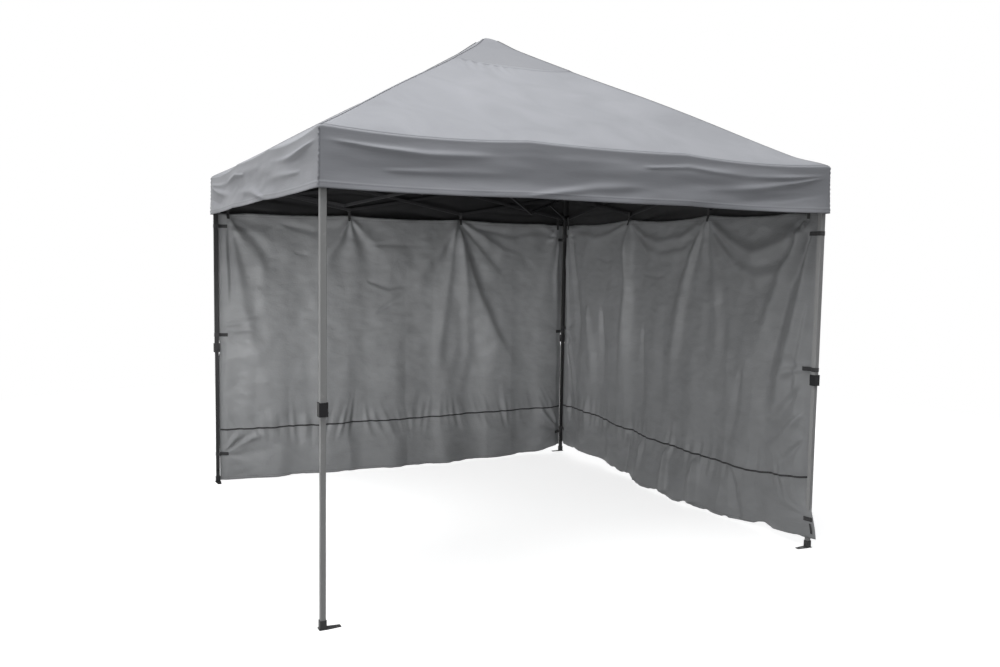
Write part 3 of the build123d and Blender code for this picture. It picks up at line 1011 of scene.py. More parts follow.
    def corner_seam(self, side: Side) -> bmesh.types.BMesh:
        """Gathered seam down the valance's corner at a side's second corner.

        Args:
            side: the side that the seam belongs to.

        Returns:
            The seam's bmesh.
        """
        down = np.linspace(0.0, 1.0, 60)
        height = TENT.eave - 0.006 - down * (TENT.valance - 0.006)
        out = TENT.edge + self.hem_flare * down**2 + 0.0006 * np.sin(down * 70) - 0.0008
        path = np.stack((out, -out, height), 1)
        swell = 0.0042 + 0.0012 * np.sin(down * 55 + 1.0)
        across = np.outer(swell, np.array((1, 1, 0)) / math.sqrt(2))
        outward = np.outer(0.6 * swell, np.array((1, -1, 0)) / math.sqrt(2))
        return shape_tube(8, side.place(path), side.place(across), side.place(outward))

    def build(self) -> None:
        """Make the roof's pieces, dress them and join them to the frame."""
        # The lining's near-black colour is partly painted shade.
        cloth, edge, lining = ROOF_CLOTH.material(), VALANCE_CLOTH.material(), LINING_AND_PAINTED_SHADE.material()
        for side in Side:
            panel = f"{side.label}_roof_panel"
            first, second = side.corners
            outwards = side.turn @ Vector((0, -1, 0))
            sheet = shape_grid(*self.slope_faces, self.slope_shape(side), outwards + Vector((0, 0, 1.5)))
            slope = finish_sheet(sheet, f"{side.label}_slope", cloth, lining)
            hip = finish_mesh(self.hip_seam(side), f"{second}_hip_seam", cloth)
            for piece in (slope, hip):
                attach(piece, panel)
                side.along()
                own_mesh(piece)
            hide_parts(panel)
            sheet = shape_grid(*self.valance_faces, self.valance_shape(side), outwards)
            valance = finish_sheet(sheet, f"{side.label}_valance", edge, lining)
            corner = finish_mesh(self.corner_seam(side), f"{second}_corner_seam", edge)
            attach(valance, f"{first}_leg")
            side.along()
            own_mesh(valance)
            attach(corner, f"{second}_leg")


class Webbing:
    """Collects straps of flat webbing into one piece."""

    def __init__(self) -> None:
        """Start with no straps."""
        self.bm = bmesh.new()

    def take(self, part: bmesh.types.BMesh, place: Matrix) -> None:
        """Thicken a strap and add it.

        Args:
            part: the strap's bmesh, which is freed.
            place: where it goes.
        """
        bmesh.ops.solidify(part, geom=part.faces[:], thickness=TENT.webbing)
        bmesh.ops.recalc_face_normals(part, faces=part.faces)
        part.transform(place)
        mesh = bpy.data.meshes.new("strap")
        part.to_mesh(mesh)
        part.free()
        self.bm.from_mesh(mesh)
        bpy.data.meshes.remove(mesh)

    def band(self, size: tuple[float, float], corner: float, width: float, place: Matrix) -> None:
        """Add a closed band, round a tube or over a joint.

        Args:
            size: inside size both ways.
            corner: inside corner radius.
            width: width of the webbing, along the band's axis.
            place: puts the band's axis, at first +Z, where it belongs.
        """
        part = bmesh.new()
        bmesh.ops.create_circle(part, segments=4, radius=math.sqrt(0.5))
        bmesh.ops.rotate(part, verts=part.verts, matrix=Matrix.Rotation(math.pi / 4, 3, "Z"))
        bmesh.ops.scale(part, verts=part.verts, vec=(*size, 1))
        bmesh.ops.bevel(
            part, geom=part.verts[:], offset=corner, affect="VERTICES", segments=4, profile=0.5, material=-1
        )
        made = bmesh.ops.extrude_edge_only(part, edges=part.edges[:])
        top = [item for item in made["geom"] if isinstance(item, bmesh.types.BMVert)]
        bmesh.ops.translate(part, verts=top, vec=(0, 0, width))
        bmesh.ops.translate(part, verts=part.verts, vec=(0, 0, -width / 2))
        bmesh.ops.recalc_face_normals(part, faces=part.faces)
        if sum(face.normal.dot(face.calc_center_median()) for face in part.faces) > 0:
            bmesh.ops.reverse_faces(part, faces=part.faces)
        self.take(part, place)

    def strip(self, path: Sequence[Vector], across: Vector) -> None:
        """Add a flat strip along a path.

        Args:
            path: middle line of the strip.
            across: half the strip's width, as a vector.
        """
        rows = np.array([tuple(point) for point in path])

        def shape(s: np.ndarray, t: np.ndarray) -> tuple[np.ndarray, np.ndarray]:
            """Lay the strip along its path.

            Args:
                s: share of the way along.
                t: share of the way across.

            Returns:
                The points and their UV metres.
            """
            points = follow(rows, s) + np.outer(2 * t - 1, np.array(across))
            return points, np.stack((s * 0.1, t * 0.02), 1)

        part = shape_grid(4 * (len(rows) - 1), 3, shape, (path[-1] - path[0]).cross(across))
        self.take(part, Matrix.Identity(4))

    def finish(self, name: str, material: bpy.types.Material) -> bpy.types.Object:
        """Turn the collected straps into a piece.

        Args:
            name: name of the piece.
            material: its finish.

        Returns:
            The new object.
        """
        obj = finish_mesh(self.bm, name, material)
        for polygon in obj.data.polygons:
            polygon.use_smooth = False
        return obj


@dataclass
class HangingWall:
    """Cloth wall on one side, with its piping, ties and leg straps.

    Across is measured along the wall in the frame's own X or Y, and inwards from the leg axes.
    """

    side: Side
    folds: tuple[Fold, ...]
    piping: tuple[tuple[float, float], ...]
    hem_out: tuple[tuple[float, float], ...]
    hem_rise: tuple[tuple[float, float], ...]
    pull_out: float
    swag: float
    hem_wave: float
    seed: float
    fold_depths: tuple[tuple[float, float], ...] = ((0.01, 0.028), (0.4, 0.020), (1.2, 0.012), (2.0, 0.005))
    bay_folds: int = 4
    top_rise: float = 0.012
    end_drop: float = 0.02
    pull_heights: tuple[float, float] = (0.06, 0.36)
    pull_start: float = 1.15
    collar_height: float = 1.007
    collar_reach: float = 0.045
    collar_room: float = 0.006
    lower_room: float = 0.003
    strap_width: float = 0.025
    strap_start: tuple[float, float] = (0.0012, 0.004)
    tie_width: float = 0.020
    tie_start: tuple[float, float] = (0.003, -0.0135)
    strap_heights: tuple[float, float, float] = (1.868, 1.069, 0.178)
    stagger: float = 0.032
    ends: tuple[float, float] = (-1.4572, 1.4572)
    edge_set_out: float = 0.008
    edge_bend: tuple[float, float] = (1.402, 1.453)
    corner_depth: float = 0.030
    relief: float = 1.7
    tie_pleats: float = 0.007
    strap_pleats: float = 0.004
    tie_reach: float = 0.16
    strap_reach: float = 0.10
    end_tie: tuple[float, float] = (1.39, 1.975)
    strap_hold: tuple[float, float] = (1.41, 0.016)
    strap_steps: tuple[float, ...] = (0.030, 0.042, 0.054, 0.066, 0.078)
    strap_corner: float = 0.0034
    leg_gap: float = 0.0008
    tie_loop: tuple[float, float] = (0.0292, 0.0249)
    tie_corner: float = 0.002
    tie_steps: tuple[float, ...] = (2.018, 1.998, 1.985, 1.968)
    end_tie_in: float = 0.085
    end_tie_start: tuple[tuple[float, float], ...] = ((0.021, 0.004), (0.0185, -0.02))
    end_tie_steps: tuple[float, ...] = (2.012, 1.99, 1.975, 1.955)
    corner_tie: float = -1.43
    corner_tie_share: float = 0.7
    corner_tie_steps: tuple[float, ...] = (0.155, 0.135, 0.115, 0.1)
    piping_half: tuple[float, float] = (0.0062, 0.0052)
    pucker_height: float = 0.0098
    waves: tuple[Waves, ...] = (
        Waves(0.006, (0.42, 0.6), 0.0),
        Waves(0.0032, (0.12, 0.17), 3.3),
        Waves(0.0013, (0.075, 0.042), 30.0),
    )
    faces: tuple[int, int] = (280, 168)
    cut: tuple[float, float] = (2.95, 2.03)

    def to_frame(self, across: np.ndarray, inward: np.ndarray, height: np.ndarray) -> np.ndarray:
        """Turn wall coordinates into the frame's.

        Args:
            across: along the wall.
            inward: from the leg axes.
            height: above the ground.

        Returns:
            Rows of x, y and z.
        """
        plane = TENT.leg - inward
        if self.side is Side.RIGHT:
            return np.stack((plane, across, height), 1)
        return np.stack((across, plane, height), 1)

    def point(self, across: float, inward: float, height: float) -> Vector:
        """One point in the frame."""
        return Vector(self.to_frame(np.array([across]), np.array([inward]), np.array([height]))[0])

    def direction(self, across: float, inward: float, height: float) -> Vector:
        """One direction in the frame."""
        return self.point(across, inward, height) - self.point(0, 0, 0)

    def hung_folds(self, across: np.ndarray, height: np.ndarray) -> np.ndarray:
        """Main hanging folds: each bay between ends and ties has four, in turn in and out.

        Args:
            across: along the wall.
            height: above the ground.

        Returns:
            Metres inwards.
        """
        run = across if self.side is Side.RIGHT else -across
        held = np.array((-TENT.wall_half, -TENT.joint_across, TENT.joint_across, TENT.wall_half))
        counts = self.bay_folds * np.arange(len(held))
        place = np.interp(run, held, counts)
        number = np.clip(np.floor(place), 0, counts[-1] - 1)
        share = place - number
        levels, depths = zip(*self.fold_depths)
        depth = np.interp(height, levels, depths)
        size = 0.6 + 0.4 * np.sin(2.1 * number + 0.5)
        return depth * np.where(number % 2 == 0, 1, -1) * size * np.sin(math.pi * share)

    def piping_height(self, across: np.ndarray) -> np.ndarray:
        """Height of the piping along the wall."""
        places, heights = zip(*self.piping)
        return np.interp(across, places, heights)

    def held_points(self) -> list[tuple[float, float, float, float]]:
        """Where ties and straps hold the cloth.

        Returns:
            For each, its place across and up, the direction its pleats spread in, and their depth.
        """
        down = -math.pi / 2
        joints = (-TENT.joint_across, TENT.joint_across)
        points = [(across, TENT.wall_top, down, self.tie_pleats) for across in joints]
        for end in (-1, 1):
            points.append((end * self.end_tie[0], self.end_tie[1], down - end * 0.5, self.tie_pleats))
            aim = math.pi if end > 0 else 0.0
            place, above = self.strap_hold
            for height in self.strap_heights:
                points.append((end * place, height + above, aim, self.strap_pleats))
        return points

    def pleats(self, across: np.ndarray, height: np.ndarray) -> np.ndarray:
        """Small pleats that spread from each tie and strap.

        Args:
            across: along the wall.
            height: above the ground.

        Returns:
            Metres inwards.
        """
        total = np.zeros(across.shape)
        for number, (place, level, aim, size) in enumerate(self.held_points()):
            off_a, off_h = across - place, height - level
            reach = np.hypot(off_a, off_h) + 1e-6
            turn = np.arctan2(off_h, off_a) - aim
            turn = (turn + math.pi) % (2 * math.pi) - math.pi
            spread = np.exp(-((turn / 0.75) ** 2))
            far = self.tie_reach if size == self.tie_pleats else self.strap_reach
            run = reach / far * np.exp(1 - reach / far)
            count = 7.0 + 2.5 * math.sin(number * 2.7 + self.seed)
            wander = 0.5 * crumple(across, height, (0.2, 0.2), self.seed + number)
            total = total + size * np.sin(turn * count + number + wander) * spread * run
        return total

    def depth(self, across: np.ndarray, height: np.ndarray) -> np.ndarray:
        """How far inwards the cloth lies.

        Args:
            across: along the wall.
            height: above the ground.

        Returns:
            Metres inwards from the leg axes.
        """
        reach = np.where(across < 0, across / self.ends[0], across / self.ends[1])
        edge = np.clip(1 - reach**30, 0, 1) * self.relief
        inward = TENT.wall_set_in + self.hung_folds(across, height)
        for fold in self.folds:
            inward = inward + fold.height(across, height) * edge
        inward = inward + self.pleats(across, height) * edge
        for waves in self.waves:
            inward = inward + waves.height(across, height, self.seed) * edge
        from_piping = height - self.piping_height(across)
        long = 0.10 + 0.06 * crumple(across, height * 0, (0.09, 1.0), self.seed + 21.0)
        gather = np.exp(-((from_piping / np.where(from_piping > 0, long, 0.10)) ** 2))
        lean = 0.55 * crumple(across, height * 0, (0.35, 1.0), self.seed + 6.0)
        fan = across + lean * from_piping
        pucker = crumple(fan, height, (0.042, 0.7), self.seed + 9.5)
        patch = 0.5 + 0.5 * ease(crumple(across, height * 0, (0.4, 1.0), self.seed + 12.0), -0.4, 0.4)
        inward = inward + self.pucker_height * pucker * gather * patch * edge
        places, outs = zip(*self.hem_out)
        low = 1 - ease(height, 0.0, 0.55)
        inward = inward + np.interp(across, places, outs) * low**1.4
        inward = inward - (inward + self.edge_set_out) * ease(np.abs(across), *self.edge_bend)
        corner = self.corner_pull(across, height) * (self.pull_out > 0)
        return inward + (self.corner_depth - inward) * corner

    def corner_pull(self, across: np.ndarray, height: np.ndarray) -> np.ndarray:
        """Share of the pull on the wall's lower corner, from 0 to 1."""
        return (1 - ease(height, *self.pull_heights)) * ease(-across, self.pull_start, -self.ends[0])

    def shift(self, across: np.ndarray, height: np.ndarray) -> np.ndarray:
        """Where the cloth's points lie across the wall, once its edges are pulled or hang free.

        Args:
            across: along the flat wall.
            height: above the ground.

        Returns:
            Along the hung wall.
        """
        pulled = self.corner_pull(across, height)
        near = ease(np.abs(across), 1.3, self.ends[1]) * np.sign(across)
        collar = np.exp(-(((height - self.collar_height) / self.collar_reach) ** 4))
        room = self.lower_room * (1 - ease(height, 0.93, 0.97)) - self.collar_room * collar
        return across - self.pull_out * pulled + near * room * (1 - pulled)

    def cloth_shape(self) -> Shape:
        """Shape of the whole wall.

        Returns:
            The function that a grid is shaped with.
        """
        places, rises = zip(*self.hem_rise)

        def shape(s: np.ndarray, t: np.ndarray) -> tuple[np.ndarray, np.ndarray]:
            """Shape the cloth from its top edge to its hem.

            Args:
                s: share of the way across.
                t: share of the way down.

            Returns:
                The points and their UV metres.
            """
            across = self.ends[0] + s * (self.ends[1] - self.ends[0])
            off = np.abs(across)
            bay = np.clip((off - TENT.joint_across) / (TENT.wall_half - TENT.joint_across), 0, 1)
            middle = np.clip(off / TENT.joint_across, 0, 1)
            dip = np.where(off > TENT.joint_across, 4 * bay * (1 - bay), 1 - middle**2)
            top = TENT.wall_top + self.top_rise - self.swag * dip - self.end_drop * ease(off, 1.2, 1.43)
            wave = crumple(across, across * 0, (0.17, 1.0), self.seed + 15.0)
            wave = wave + 0.4 * crumple(across, across * 0, (0.06, 1.0), self.seed + 18.0)
            hem = TENT.wall_hem + np.interp(across, places, rises) + np.clip(self.hem_wave * wave, 0, 1)
            height = top + (hem - top) * t
            points = self.to_frame(self.shift(across, height), self.depth(across, height), height)
            return points, np.stack((across, height), 1)

        return shape

    def piping_piece(self) -> bmesh.types.BMesh:
        """Black piping sewn along the foot of the wall.

        Returns:
            The piping's bmesh.
        """
        across = np.linspace(self.ends[0] + 0.006, self.ends[1] - 0.006, 320)
        height = self.piping_height(across) + 0.0015 * np.sin(across * 37)
        path = self.to_frame(self.shift(across, height), self.depth(across, height), height)
        up = np.tile(np.array((0, 0, self.piping_half[0])), (len(across), 1))
        inward = np.tile(np.array(self.direction(0, self.piping_half[1], 0)), (len(across), 1))
        return shape_tube(8, path, up, inward)

    def on_cloth(self, across: float, height: float, proud: float = 0.0035) -> Vector:
        """A point just inside the cloth's surface."""
        spot = np.array([across]), np.array([height])
        return self.point(float(self.shift(*spot)[0]), float(self.depth(*spot)[0]) + proud, height)

    def leg_straps(self, corner: str, end: float, raised: float, finish: bpy.types.Material) -> None:
        """Three straps that hold an edge of the wall to its leg.

        Args:
            corner: the leg's corner.
            end: -1 or 1, which edge.
            raised: how far these straps sit above the wall's other ones.
            finish: the straps' material.
        """
        straps = Webbing()
        for level, low in zip(self.strap_heights, (False, False, True)):
            tube = TENT.lower_tube if low else TENT.upper_tube
            height = level + raised
            size = tube + self.leg_gap
            place = Matrix.Translation(self.point(end * TENT.leg, 0, height))
            straps.band((size, size), self.strap_corner, self.strap_width, place)
            start = TENT.leg - tube / 2 - self.strap_start[0]
            path = [self.point(end * start, self.strap_start[1], height)]
            path += [self.on_cloth(end * (TENT.leg - step), height) for step in self.strap_steps]
            straps.strip(path, Vector((0, 0, self.strap_width / 2)))
        piece = straps.finish(f"{self.side.label}_wall_straps_{corner}", finish)
        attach(piece, f"{corner}_leg")

    def ties(self, finish: bpy.types.Material) -> bpy.types.Object:
        """Ties from the wall's top edge up to the truss.

        Args:
            finish: the ties' material.

        Returns:
            The ties as one piece.
        """
        ties = Webbing()
        half = self.direction(self.tie_width / 2, 0, 0)
        turn = Matrix.Rotation(math.pi / 2, 4, "X" if self.side is Side.RIGHT else "Y")
        for across in (-TENT.joint_across, TENT.joint_across):
            place = Matrix.Translation(self.point(across, 0, TENT.lower_joint)) @ turn
            size = self.tie_loop if self.side is Side.RIGHT else self.tie_loop[::-1]
            ties.band(size, self.tie_corner, self.tie_width, place)
            inward, above = self.tie_start
            path = [self.point(across, TENT.wall_set_in + inward, TENT.lower_joint + above)]
            path += [self.on_cloth(across, height) for height in self.tie_steps]
            ties.strip(path, half)
        for across in (self.end_tie_in - TENT.leg, TENT.leg - self.end_tie_in):
            path = []
            for inward, above in self.end_tie_start:
                path.append(self.point(across, inward, TENT.lower_joint + above))
            path += [self.on_cloth(across, height) for height in self.end_tie_steps]
            ties.strip(path, half)
        if self.pull_out:
            path = [self.on_cloth(self.corner_tie, height) for height in self.corner_tie_steps]
            ties.strip(path, half * self.corner_tie_share)
        return ties.finish(f"{self.side.label}_wall_ties", finish)

    def build(self) -> None:
        """Make the wall's pieces, dress them and join them to the frame."""
        label = self.side.label
        webbing = WEBBING.material()
        inwards = self.direction(0, 1, 0)
        sheet = shape_grid(*self.faces, self.cloth_shape(), inwards)
        cloth = finish_sheet(sheet, f"{label}_wall_cloth", WALL_CLOTH_AND_PAINTED_LIGHT.material())
        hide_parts(f"{label}_wall")
        piping = finish_mesh(self.piping_piece(), f"{label}_wall_piping", webbing)
        ties = self.ties(webbing)
        for piece, slot in ((cloth, "wall_cloth"), (piping, "black_moulding"), (ties, "black_moulding")):
            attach(piece, "back_right_leg")
            self.side.along()
            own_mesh(piece)
        first, second = self.side.corners
        reach = 1 if self.side is Side.RIGHT else -1
        self.leg_straps(first, -reach, 0.0, webbing)
        self.leg_straps(second, reach, self.stagger, webbing)


BACK_WALL = HangingWall(
    side=Side.BACK,
    folds=(
        Fold(
            ((0.43, 2.0), (0.515, 1.72), (0.625, 1.39), (0.78, 1.07), (0.965, 0.8), (1.12, 0.62)),
            0.055, 0.026, 0.35,
        ),
        Fold(((0.47, 2.0), (0.64, 1.90), (0.86, 1.76), (1.1, 1.70)), 0.034, 0.012, 0.5),
        Fold(((0.50, 1.93), (0.66, 1.74), (0.93, 1.45)), 0.034, 0.009, 0.5),
        Fold(((0.44, 1.98), (0.29, 1.77), (0.15, 1.62), (0.0, 1.44)), 0.075, 0.018),
        Fold(((0.42, 1.96), (0.36, 1.5), (0.30, 1.0), (0.22, 0.5)), 0.05, 0.010),
        Fold(((0.47, 1.9), (0.52, 1.4), (0.55, 0.95), (0.5, 0.5)), 0.045, 0.009),
        Fold(((-0.30, 1.785), (-0.09, 1.80), (0.12, 1.79)), 0.018, -0.006),
        Fold(((-0.32, 1.505), (-0.145, 1.45), (0.06, 1.49)), 0.022, -0.006),
        Fold(((-0.24, 1.255), (0.0, 1.40)), 0.022, -0.006),
        Fold(((-0.46, 1.99), (-0.56, 1.81), (-0.64, 1.70), (-0.7, 1.5)), 0.045, 0.011),
        Fold(((-0.45, 1.97), (-0.3, 1.82), (-0.18, 1.7)), 0.04, 0.008),
        Fold(((-1.39, 1.97), (-1.29, 1.86), (-1.18, 1.70), (-1.1, 1.45)), 0.045, 0.013, 0.6),
        Fold(((-1.39, 1.97), (-1.33, 1.62), (-1.27, 1.2), (-1.1, 0.6)), 0.055, 0.016, 0.6),
        Fold(((-0.9, 1.72), (-0.77, 1.695)), 0.018, -0.005),
        Fold(((-1.42, 1.17), (-1.28, 1.19), (-1.1, 1.23)), 0.022, 0.010),
        Fold(((-1.42, 1.13), (-1.25, 1.135), (-1.12, 1.12)), 0.018, 0.008),
        Fold(((-1.42, 0.21), (-1.25, 0.31), (-1.08, 0.36)), 0.02, 0.010),
        Fold(((1.42, 0.21), (1.28, 0.36), (1.2, 0.55)), 0.022, 0.010),
        Fold(((-1.0, 1.93), (-0.75, 1.88), (-0.5, 1.95)), 0.03, -0.008),
        Fold(((-1.415, 1.88), (-1.40, 1.6), (-1.395, 1.25)), 0.014, 0.012, 0.6),
        Fold(((-1.385, 1.9), (-1.365, 1.6), (-1.36, 1.3)), 0.016, -0.010, 0.6),
        Fold(((-1.42, 0.24), (-1.36, 0.32), (-1.30, 0.385)), 0.014, 0.012, 0.6),
        Fold(((-1.42, 0.22), (-1.33, 0.29), (-1.20, 0.37)), 0.014, -0.010, 0.6),
        Fold(((1.42, 0.25), (1.36, 0.38), (1.33, 0.5)), 0.014, 0.012, 0.6),
        Fold(((1.42, 0.23), (1.33, 0.34), (1.25, 0.42)), 0.014, -0.010, 0.6),
        Fold(((1.41, 1.85), (1.385, 1.55), (1.40, 1.2)), 0.016, 0.012, 0.6),
        Fold(((0.6, 1.95), (0.95, 1.9), (1.3, 1.95)), 0.03, -0.009),
    ),
    piping=((-1.44, 0.392), (-0.73, 0.382), (0.0, 0.384), (0.6, 0.394), (1.44, 0.402)),
    hem_out=((-1.44, 0.0), (-0.5, 0.055), (0.3, 0.085), (0.95, 0.035), (1.44, 0.0)),
    hem_rise=((-1.44, 0.0), (0.9, 0.0), (1.2, 0.008), (1.44, 0.05)),
    pull_out=0.0,
    swag=0.016,
    hem_wave=0.008,
    seed=2.4,
)

RIGHT_WALL = HangingWall(
    side=Side.RIGHT,
    folds=(
        Fold(
            ((0.44, 1.985), (0.25, 1.875), (0.06, 1.83), (-0.2, 1.86), (-0.45, 1.975)),
            0.034, 0.014, tail=0.1,
        ),
        Fold(
            ((0.40, 1.90), (0.22, 1.77), (0.04, 1.735), (-0.2, 1.76), (-0.38, 1.86)),
            0.032, 0.009, tail=0.2,
        ),
        Fold(
            ((-0.49, 1.975), (-0.72, 1.83), (-0.92, 1.75), (-1.18, 1.81), (-1.42, 1.94)),
            0.045, 0.018, tail=0.1,
        ),
        Fold(
            ((-0.55, 1.86), (-0.75, 1.68), (-0.95, 1.6), (-1.15, 1.64), (-1.33, 1.76)),
            0.04, 0.010, tail=0.2,
        ),
        Fold(((0.50, 1.975), (0.75, 1.895), (0.95, 1.875), (1.2, 1.91), (1.4, 1.98)), 0.034, 0.012, tail=0.1),
        Fold(((0.46, 1.98), (0.485, 1.736), (0.487, 1.477), (0.52, 1.0), (0.56, 0.5)), 0.042, 0.022, 0.6),
        Fold(((-0.46, 1.97), (-0.32, 1.738), (-0.22, 1.5), (-0.12, 1.0), (-0.08, 0.55)), 0.06, 0.018),
        Fold(((-0.48, 1.95), (-0.55, 1.6), (-0.6, 1.2), (-0.62, 0.7)), 0.06, 0.010),
        Fold(((-1.43, 1.93), (-1.33, 1.7), (-1.235, 1.51), (-1.155, 1.258), (-1.08, 0.83)), 0.05, -0.018),
        Fold(((-1.43, 1.88), (-1.385, 1.6), (-1.31, 1.26), (-1.2, 0.9), (-1.1, 0.55)), 0.055, 0.026),
        Fold(((-1.43, 1.95), (-1.25, 1.72), (-1.1, 1.45), (-0.95, 1.1)), 0.05, 0.013),
        Fold(((1.36, 1.95), (1.29, 1.64), (1.2, 1.2), (1.1, 0.68)), 0.05, -0.014),
        Fold(((1.05, 1.3), (0.97, 0.9), (0.92, 0.55)), 0.05, 0.011),
        Fold(((0.86, 1.3), (0.82, 0.9), (0.80, 0.55)), 0.045, -0.012),
        Fold(((0.27, 1.2), (0.25, 0.8), (0.24, 0.45)), 0.045, -0.010),
        Fold(((-0.85, 1.0), (-0.8, 0.7), (-0.72, 0.42)), 0.045, -0.010),
        Fold(((-1.42, 1.06), (-1.3, 1.04), (-1.2, 0.98)), 0.02, 0.008),
        Fold(((0.3, 1.6), (0.1, 1.58), (-0.1, 1.62)), 0.018, -0.005),
        Fold(((0.95, 1.72), (0.8, 1.69), (0.62, 1.72)), 0.018, -0.005),
        Fold(((1.41, 1.85), (1.40, 1.4), (1.36, 0.9), (1.34, 0.5)), 0.016, 0.012, 0.6),
        Fold(((1.37, 1.05), (1.31, 0.75), (1.27, 0.45)), 0.018, -0.012, 0.6),
        Fold(((1.33, 1.0), (1.26, 0.7), (1.2, 0.42)), 0.02, 0.013, 0.6),
        Fold(((-1.38, 0.95), (-1.2, 0.75), (-1.0, 0.62)), 0.03, -0.012, 0.6),
        Fold(((-1.40, 0.80), (-1.25, 0.62), (-1.05, 0.5)), 0.026, 0.013, 0.6),
        Fold(((-1.40, 0.62), (-1.28, 0.5), (-1.15, 0.42)), 0.022, -0.010, 0.6),
        Fold(((-1.41, 1.45), (-1.36, 1.1), (-1.34, 0.7)), 0.018, 0.012, 0.6),
        Fold(((-0.1, 0.33), (-0.12, 0.2), (-0.16, 0.02)), 0.035, 0.022, tail=0.05),
        Fold(((0.2, 0.33), (0.2, 0.2), (0.22, 0.02)), 0.035, 0.020, tail=0.05),
        Fold(((0.42, 0.33), (0.44, 0.2), (0.46, 0.02)), 0.03, -0.016, tail=0.05),
        Fold(((-0.45, 0.33), (-0.46, 0.2), (-0.5, 0.02)), 0.035, 0.020, tail=0.05),
        Fold(((-0.8, 0.33), (-0.84, 0.2), (-0.9, 0.02)), 0.035, -0.014, tail=0.05),
    ),
    piping=(
        (-1.44, 0.418), (-1.27, 0.392), (-0.97, 0.355), (-0.5, 0.356),
        (0.0, 0.362), (0.6, 0.385), (1.08, 0.428), (1.44, 0.416),
    ),
    hem_out=(
        (-1.44, 0.0), (-0.9, 0.02), (-0.55, 0.10), (-0.1, 0.085),
        (0.1, 0.075), (0.4, 0.02), (0.9, -0.012), (1.44, 0.0),
    ),
    hem_rise=((-1.45, 0.065), (-1.2, 0.03), (-0.8, 0.0), (0.3, 0.0), (0.7, 0.04), (1.1, 0.06), (1.44, 0.06)),
    pull_out=0.11,
    swag=0.026,
    hem_wave=0.022,
    seed=7.9,
)


@dataclass
class Framework:
    """Legs, trusses, arms, hub and pole of the frame, which keep their own shapes."""

    def build(self) -> None:
        """Give each node of the frame its finish."""
        # The back legs take the near-black copy of the leg paint: painted shade.
        dark = BACK_LEG_PAINTED_SHADE.material()
        finishes = {f"{corner}_{part}_leg": dark for corner in CORNERS[2:] for part in ("upper", "lower")}
        finishes |= {"upper_leg": LEG_PAINT.material(), "lower_leg": LOWER_PAINT.material()}
        finishes |= dict.fromkeys(("slider", "button", "hub"), MOULDING.material())
        # Trusses, arms, struts and pole take the near-black painted shade.
        finishes |= dict.fromkeys(("truss", "arm", "strut", "pole"), TRUSS_PAINTED_SHADE.material())
        for name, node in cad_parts.items():
            found = [finish for part, finish in finishes.items() if part in name]
            if not found:
                continue
            node.data.materials.clear()
            node.data.materials.append(found[0])
        LOG.info("frame dressed")


@dataclass(frozen=True)
class Lamp:
    """Soft box that the camera doesn't see, with its width, its watts and the angle of its beam."""

    name: str
    place: tuple[float, float, float]
    aim: tuple[float, float, float]
    size: float
    power: float
    spread: float = math.pi

    def hang(self) -> None:
        """Put the lamp in the scene."""
        data = bpy.data.lights.new(self.name, "AREA")
        data.shape = "DISK"
        data.spread = self.spread
        data.size = self.size
        data.energy = self.power
        lamp = link(bpy.data.objects.new(self.name, data))
        lamp.visible_camera = False
        place = Vector(self.place)
        turn = (Vector(self.aim) - place).to_track_quat("-Z", "Y").to_matrix().to_4x4()
        lamp.matrix_world = Matrix.Translation(place) @ turn


LAMPS = (
    Lamp("overhead", (-2.5, -2.0, 9.0), (0.0, 0.0, 1.8), 6.0, 570.0),
    Lamp("left_side", (-9.0, -3.0, 2.2), (0.0, 0.0, 1.3), 4.0, 80.0),
    Lamp("behind", (6.5, 7.5, 2.6), (0.8, 1.0, 1.1), 4.0, 205.0),
    Lamp("left_window", (-1.40, 0.10, 1.05), (1.0, 1.42, 0.95), 0.7, 15.0),
    Lamp("front_window", (0.45, -1.42, 0.9), (1.0, 1.42, 0.9), 0.7, 2.4),
    Lamp("corner_beam", (0.2, -1.42, 1.0), (1.0, 1.42, 1.0), 0.5, 1.5, 0.9),
)


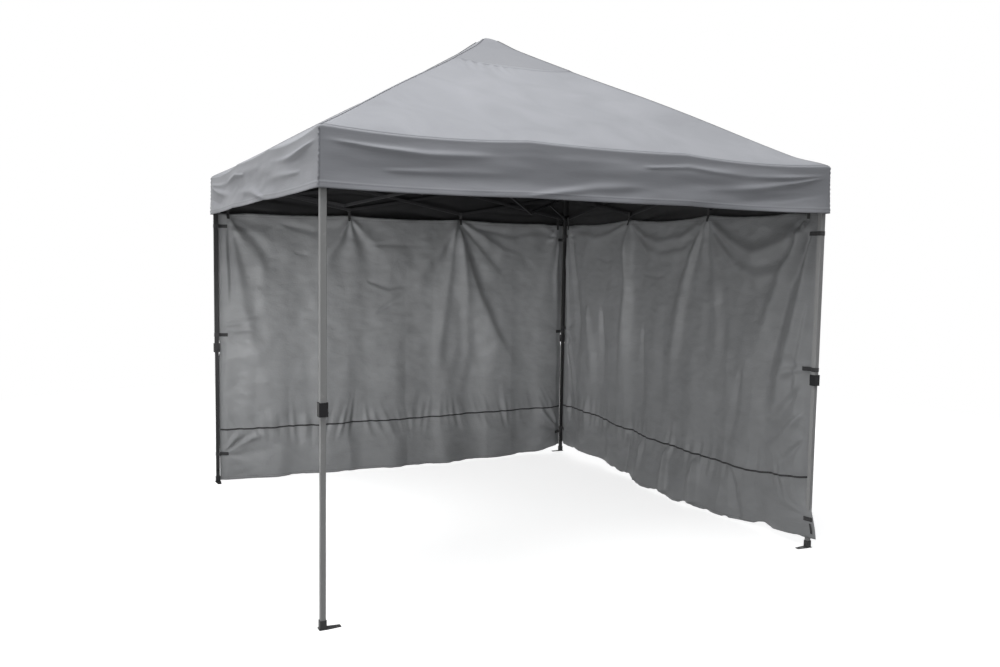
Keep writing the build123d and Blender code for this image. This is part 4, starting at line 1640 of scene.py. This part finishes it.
@dataclass
class Studio:
    """Floor, light, background and the photograph's viewpoint."""

    eye: tuple[float, float, float] = (-2.5235, -5.3693, 1.6796)
    yaw: float = 0.4587
    tilt: float = -0.0808
    roll: float = 0.016
    focal: float = 897.87
    picture_width: float = 1000.0
    sensor: float = 36.0
    sky: float = 0.50
    ground: float = 0.10
    sky_colour: Colour = (0.97, 0.985, 1.0)
    floor_half: float = 60.0
    floor_greys: tuple[float, float] = (0.80, 0.84)
    floor_bounce: float = 0.25
    floor_fade: tuple[float, float] = (3.0, 7.0)
    floor_shine: float = 2.3
    floor_lift: float = 0.32

    def camera(self) -> None:
        """Set up the camera."""
        ahead = Vector(
            (
                math.cos(self.tilt) * math.sin(self.yaw),
                math.cos(self.tilt) * math.cos(self.yaw),
                math.sin(self.tilt),
            )
        )
        level = Vector((math.cos(self.yaw), -math.sin(self.yaw), 0))
        above = level.cross(ahead)
        right = math.cos(self.roll) * level + math.sin(self.roll) * above
        up = -math.sin(self.roll) * level + math.cos(self.roll) * above
        data = bpy.data.cameras.new("viewpoint")
        data.sensor_fit = "HORIZONTAL"
        data.sensor_width = self.sensor
        data.lens = self.focal / self.picture_width * self.sensor
        camera = link(bpy.data.objects.new("viewpoint", data))
        turn = Matrix((right, up, -ahead)).transposed()
        camera.matrix_world = Matrix.Translation(Vector(self.eye)) @ turn.to_4x4()
        bpy.context.scene.camera = camera

    def seen(self, kit: NodeKit) -> bpy.types.NodeSocket:
        """Mask for rays that show the background: from the camera, in gloss and through glass.

        Args:
            kit: the material's or the world's kit.

        Returns:
            The mask.
        """
        path = kit.add("LightPath")
        direct = kit.math("MAXIMUM", path.outputs["Is Camera Ray"], path.outputs["Is Glossy Ray"])
        return kit.math("MAXIMUM", direct, path.outputs["Is Transmission Ray"])

    def surroundings(self) -> None:
        """Soft light from all round, brighter above, with a white background."""
        world = bpy.data.worlds.new("studio")
        bpy.context.scene.world = world
        world.use_nodes = True
        kit = NodeKit(world.node_tree)
        output = world.node_tree.nodes["World Output"]
        soft = world.node_tree.nodes["Background"]
        up = kit.add("SeparateXYZ", Vector=kit.add("TexCoord").outputs["Generated"]).outputs["Z"]
        level = kit.span(up, self.ground, self.sky, -0.15, 0.75)
        kit.feed(soft.inputs["Strength"], level)
        soft.inputs["Color"].default_value = (*self.sky_colour, 1.0)
        white = kit.add("Background", Color=(1.0, 1.0, 1.0, 1.0), Strength=1.0)
        both = kit.mix(self.seen(kit), soft.outputs["Background"], white.outputs["Background"])
        kit.feed(output.inputs["Surface"], both)

    def floor(self) -> None:
        """Pale floor that keeps the tent's shadow."""
        material, kit, shader, output = start_material("pale_floor")
        place = kit.add("TexCoord").outputs["Object"]
        tone = kit.add("TexNoise", Vector=place, Scale=0.6)
        away = kit.add("VectorMath", operation="LENGTH")
        kit.feed(away.inputs[0], place)
        far = kit.span(away.outputs["Value"], 0.0, 1.0, *self.floor_fade)
        seen = self.seen(kit)
        dull, bright, bounce = ((grey,) * 3 for grey in (*self.floor_greys, self.floor_bounce))
        pale = kit.blend(tone.outputs["Fac"], dull, bright)
        kit.feed(shader.inputs["Base Color"], kit.blend(seen, bounce, pale))
        shader.inputs["Roughness"].default_value = 0.9
        shader.inputs["Specular IOR Level"].default_value = 0.0
        strength = kit.span(far, self.floor_shine, 1.0)
        shine = kit.add("Emission", Color=(1.0, 1.0, 1.0, 1.0), Strength=strength)
        share = kit.math("MULTIPLY", seen, kit.span(far, self.floor_lift, 1.0))
        both = kit.mix(share, shader.outputs["BSDF"], shine.outputs["Emission"])
        kit.feed(output.inputs["Surface"], both)
        bm = bmesh.new()
        bmesh.ops.create_grid(bm, x_segments=2, y_segments=2, size=self.floor_half)
        floor = finish_mesh(bm, "floor", material)

    def build(self) -> None:
        """Set up the studio."""
        bpy.context.scene.view_settings.view_transform = "Standard"
        self.camera()
        self.surroundings()
        self.floor()
        for lamp in LAMPS:
            lamp.hang()


def main() -> None:
    """Build the tent and its studio."""
    logging.basicConfig(level=logging.INFO, format="%(message)s")
    Studio().build()
    Framework().build()
    Roof().build()
    BACK_WALL.build()
    RIGHT_WALL.build()


if __name__ == "__main__":
    main()
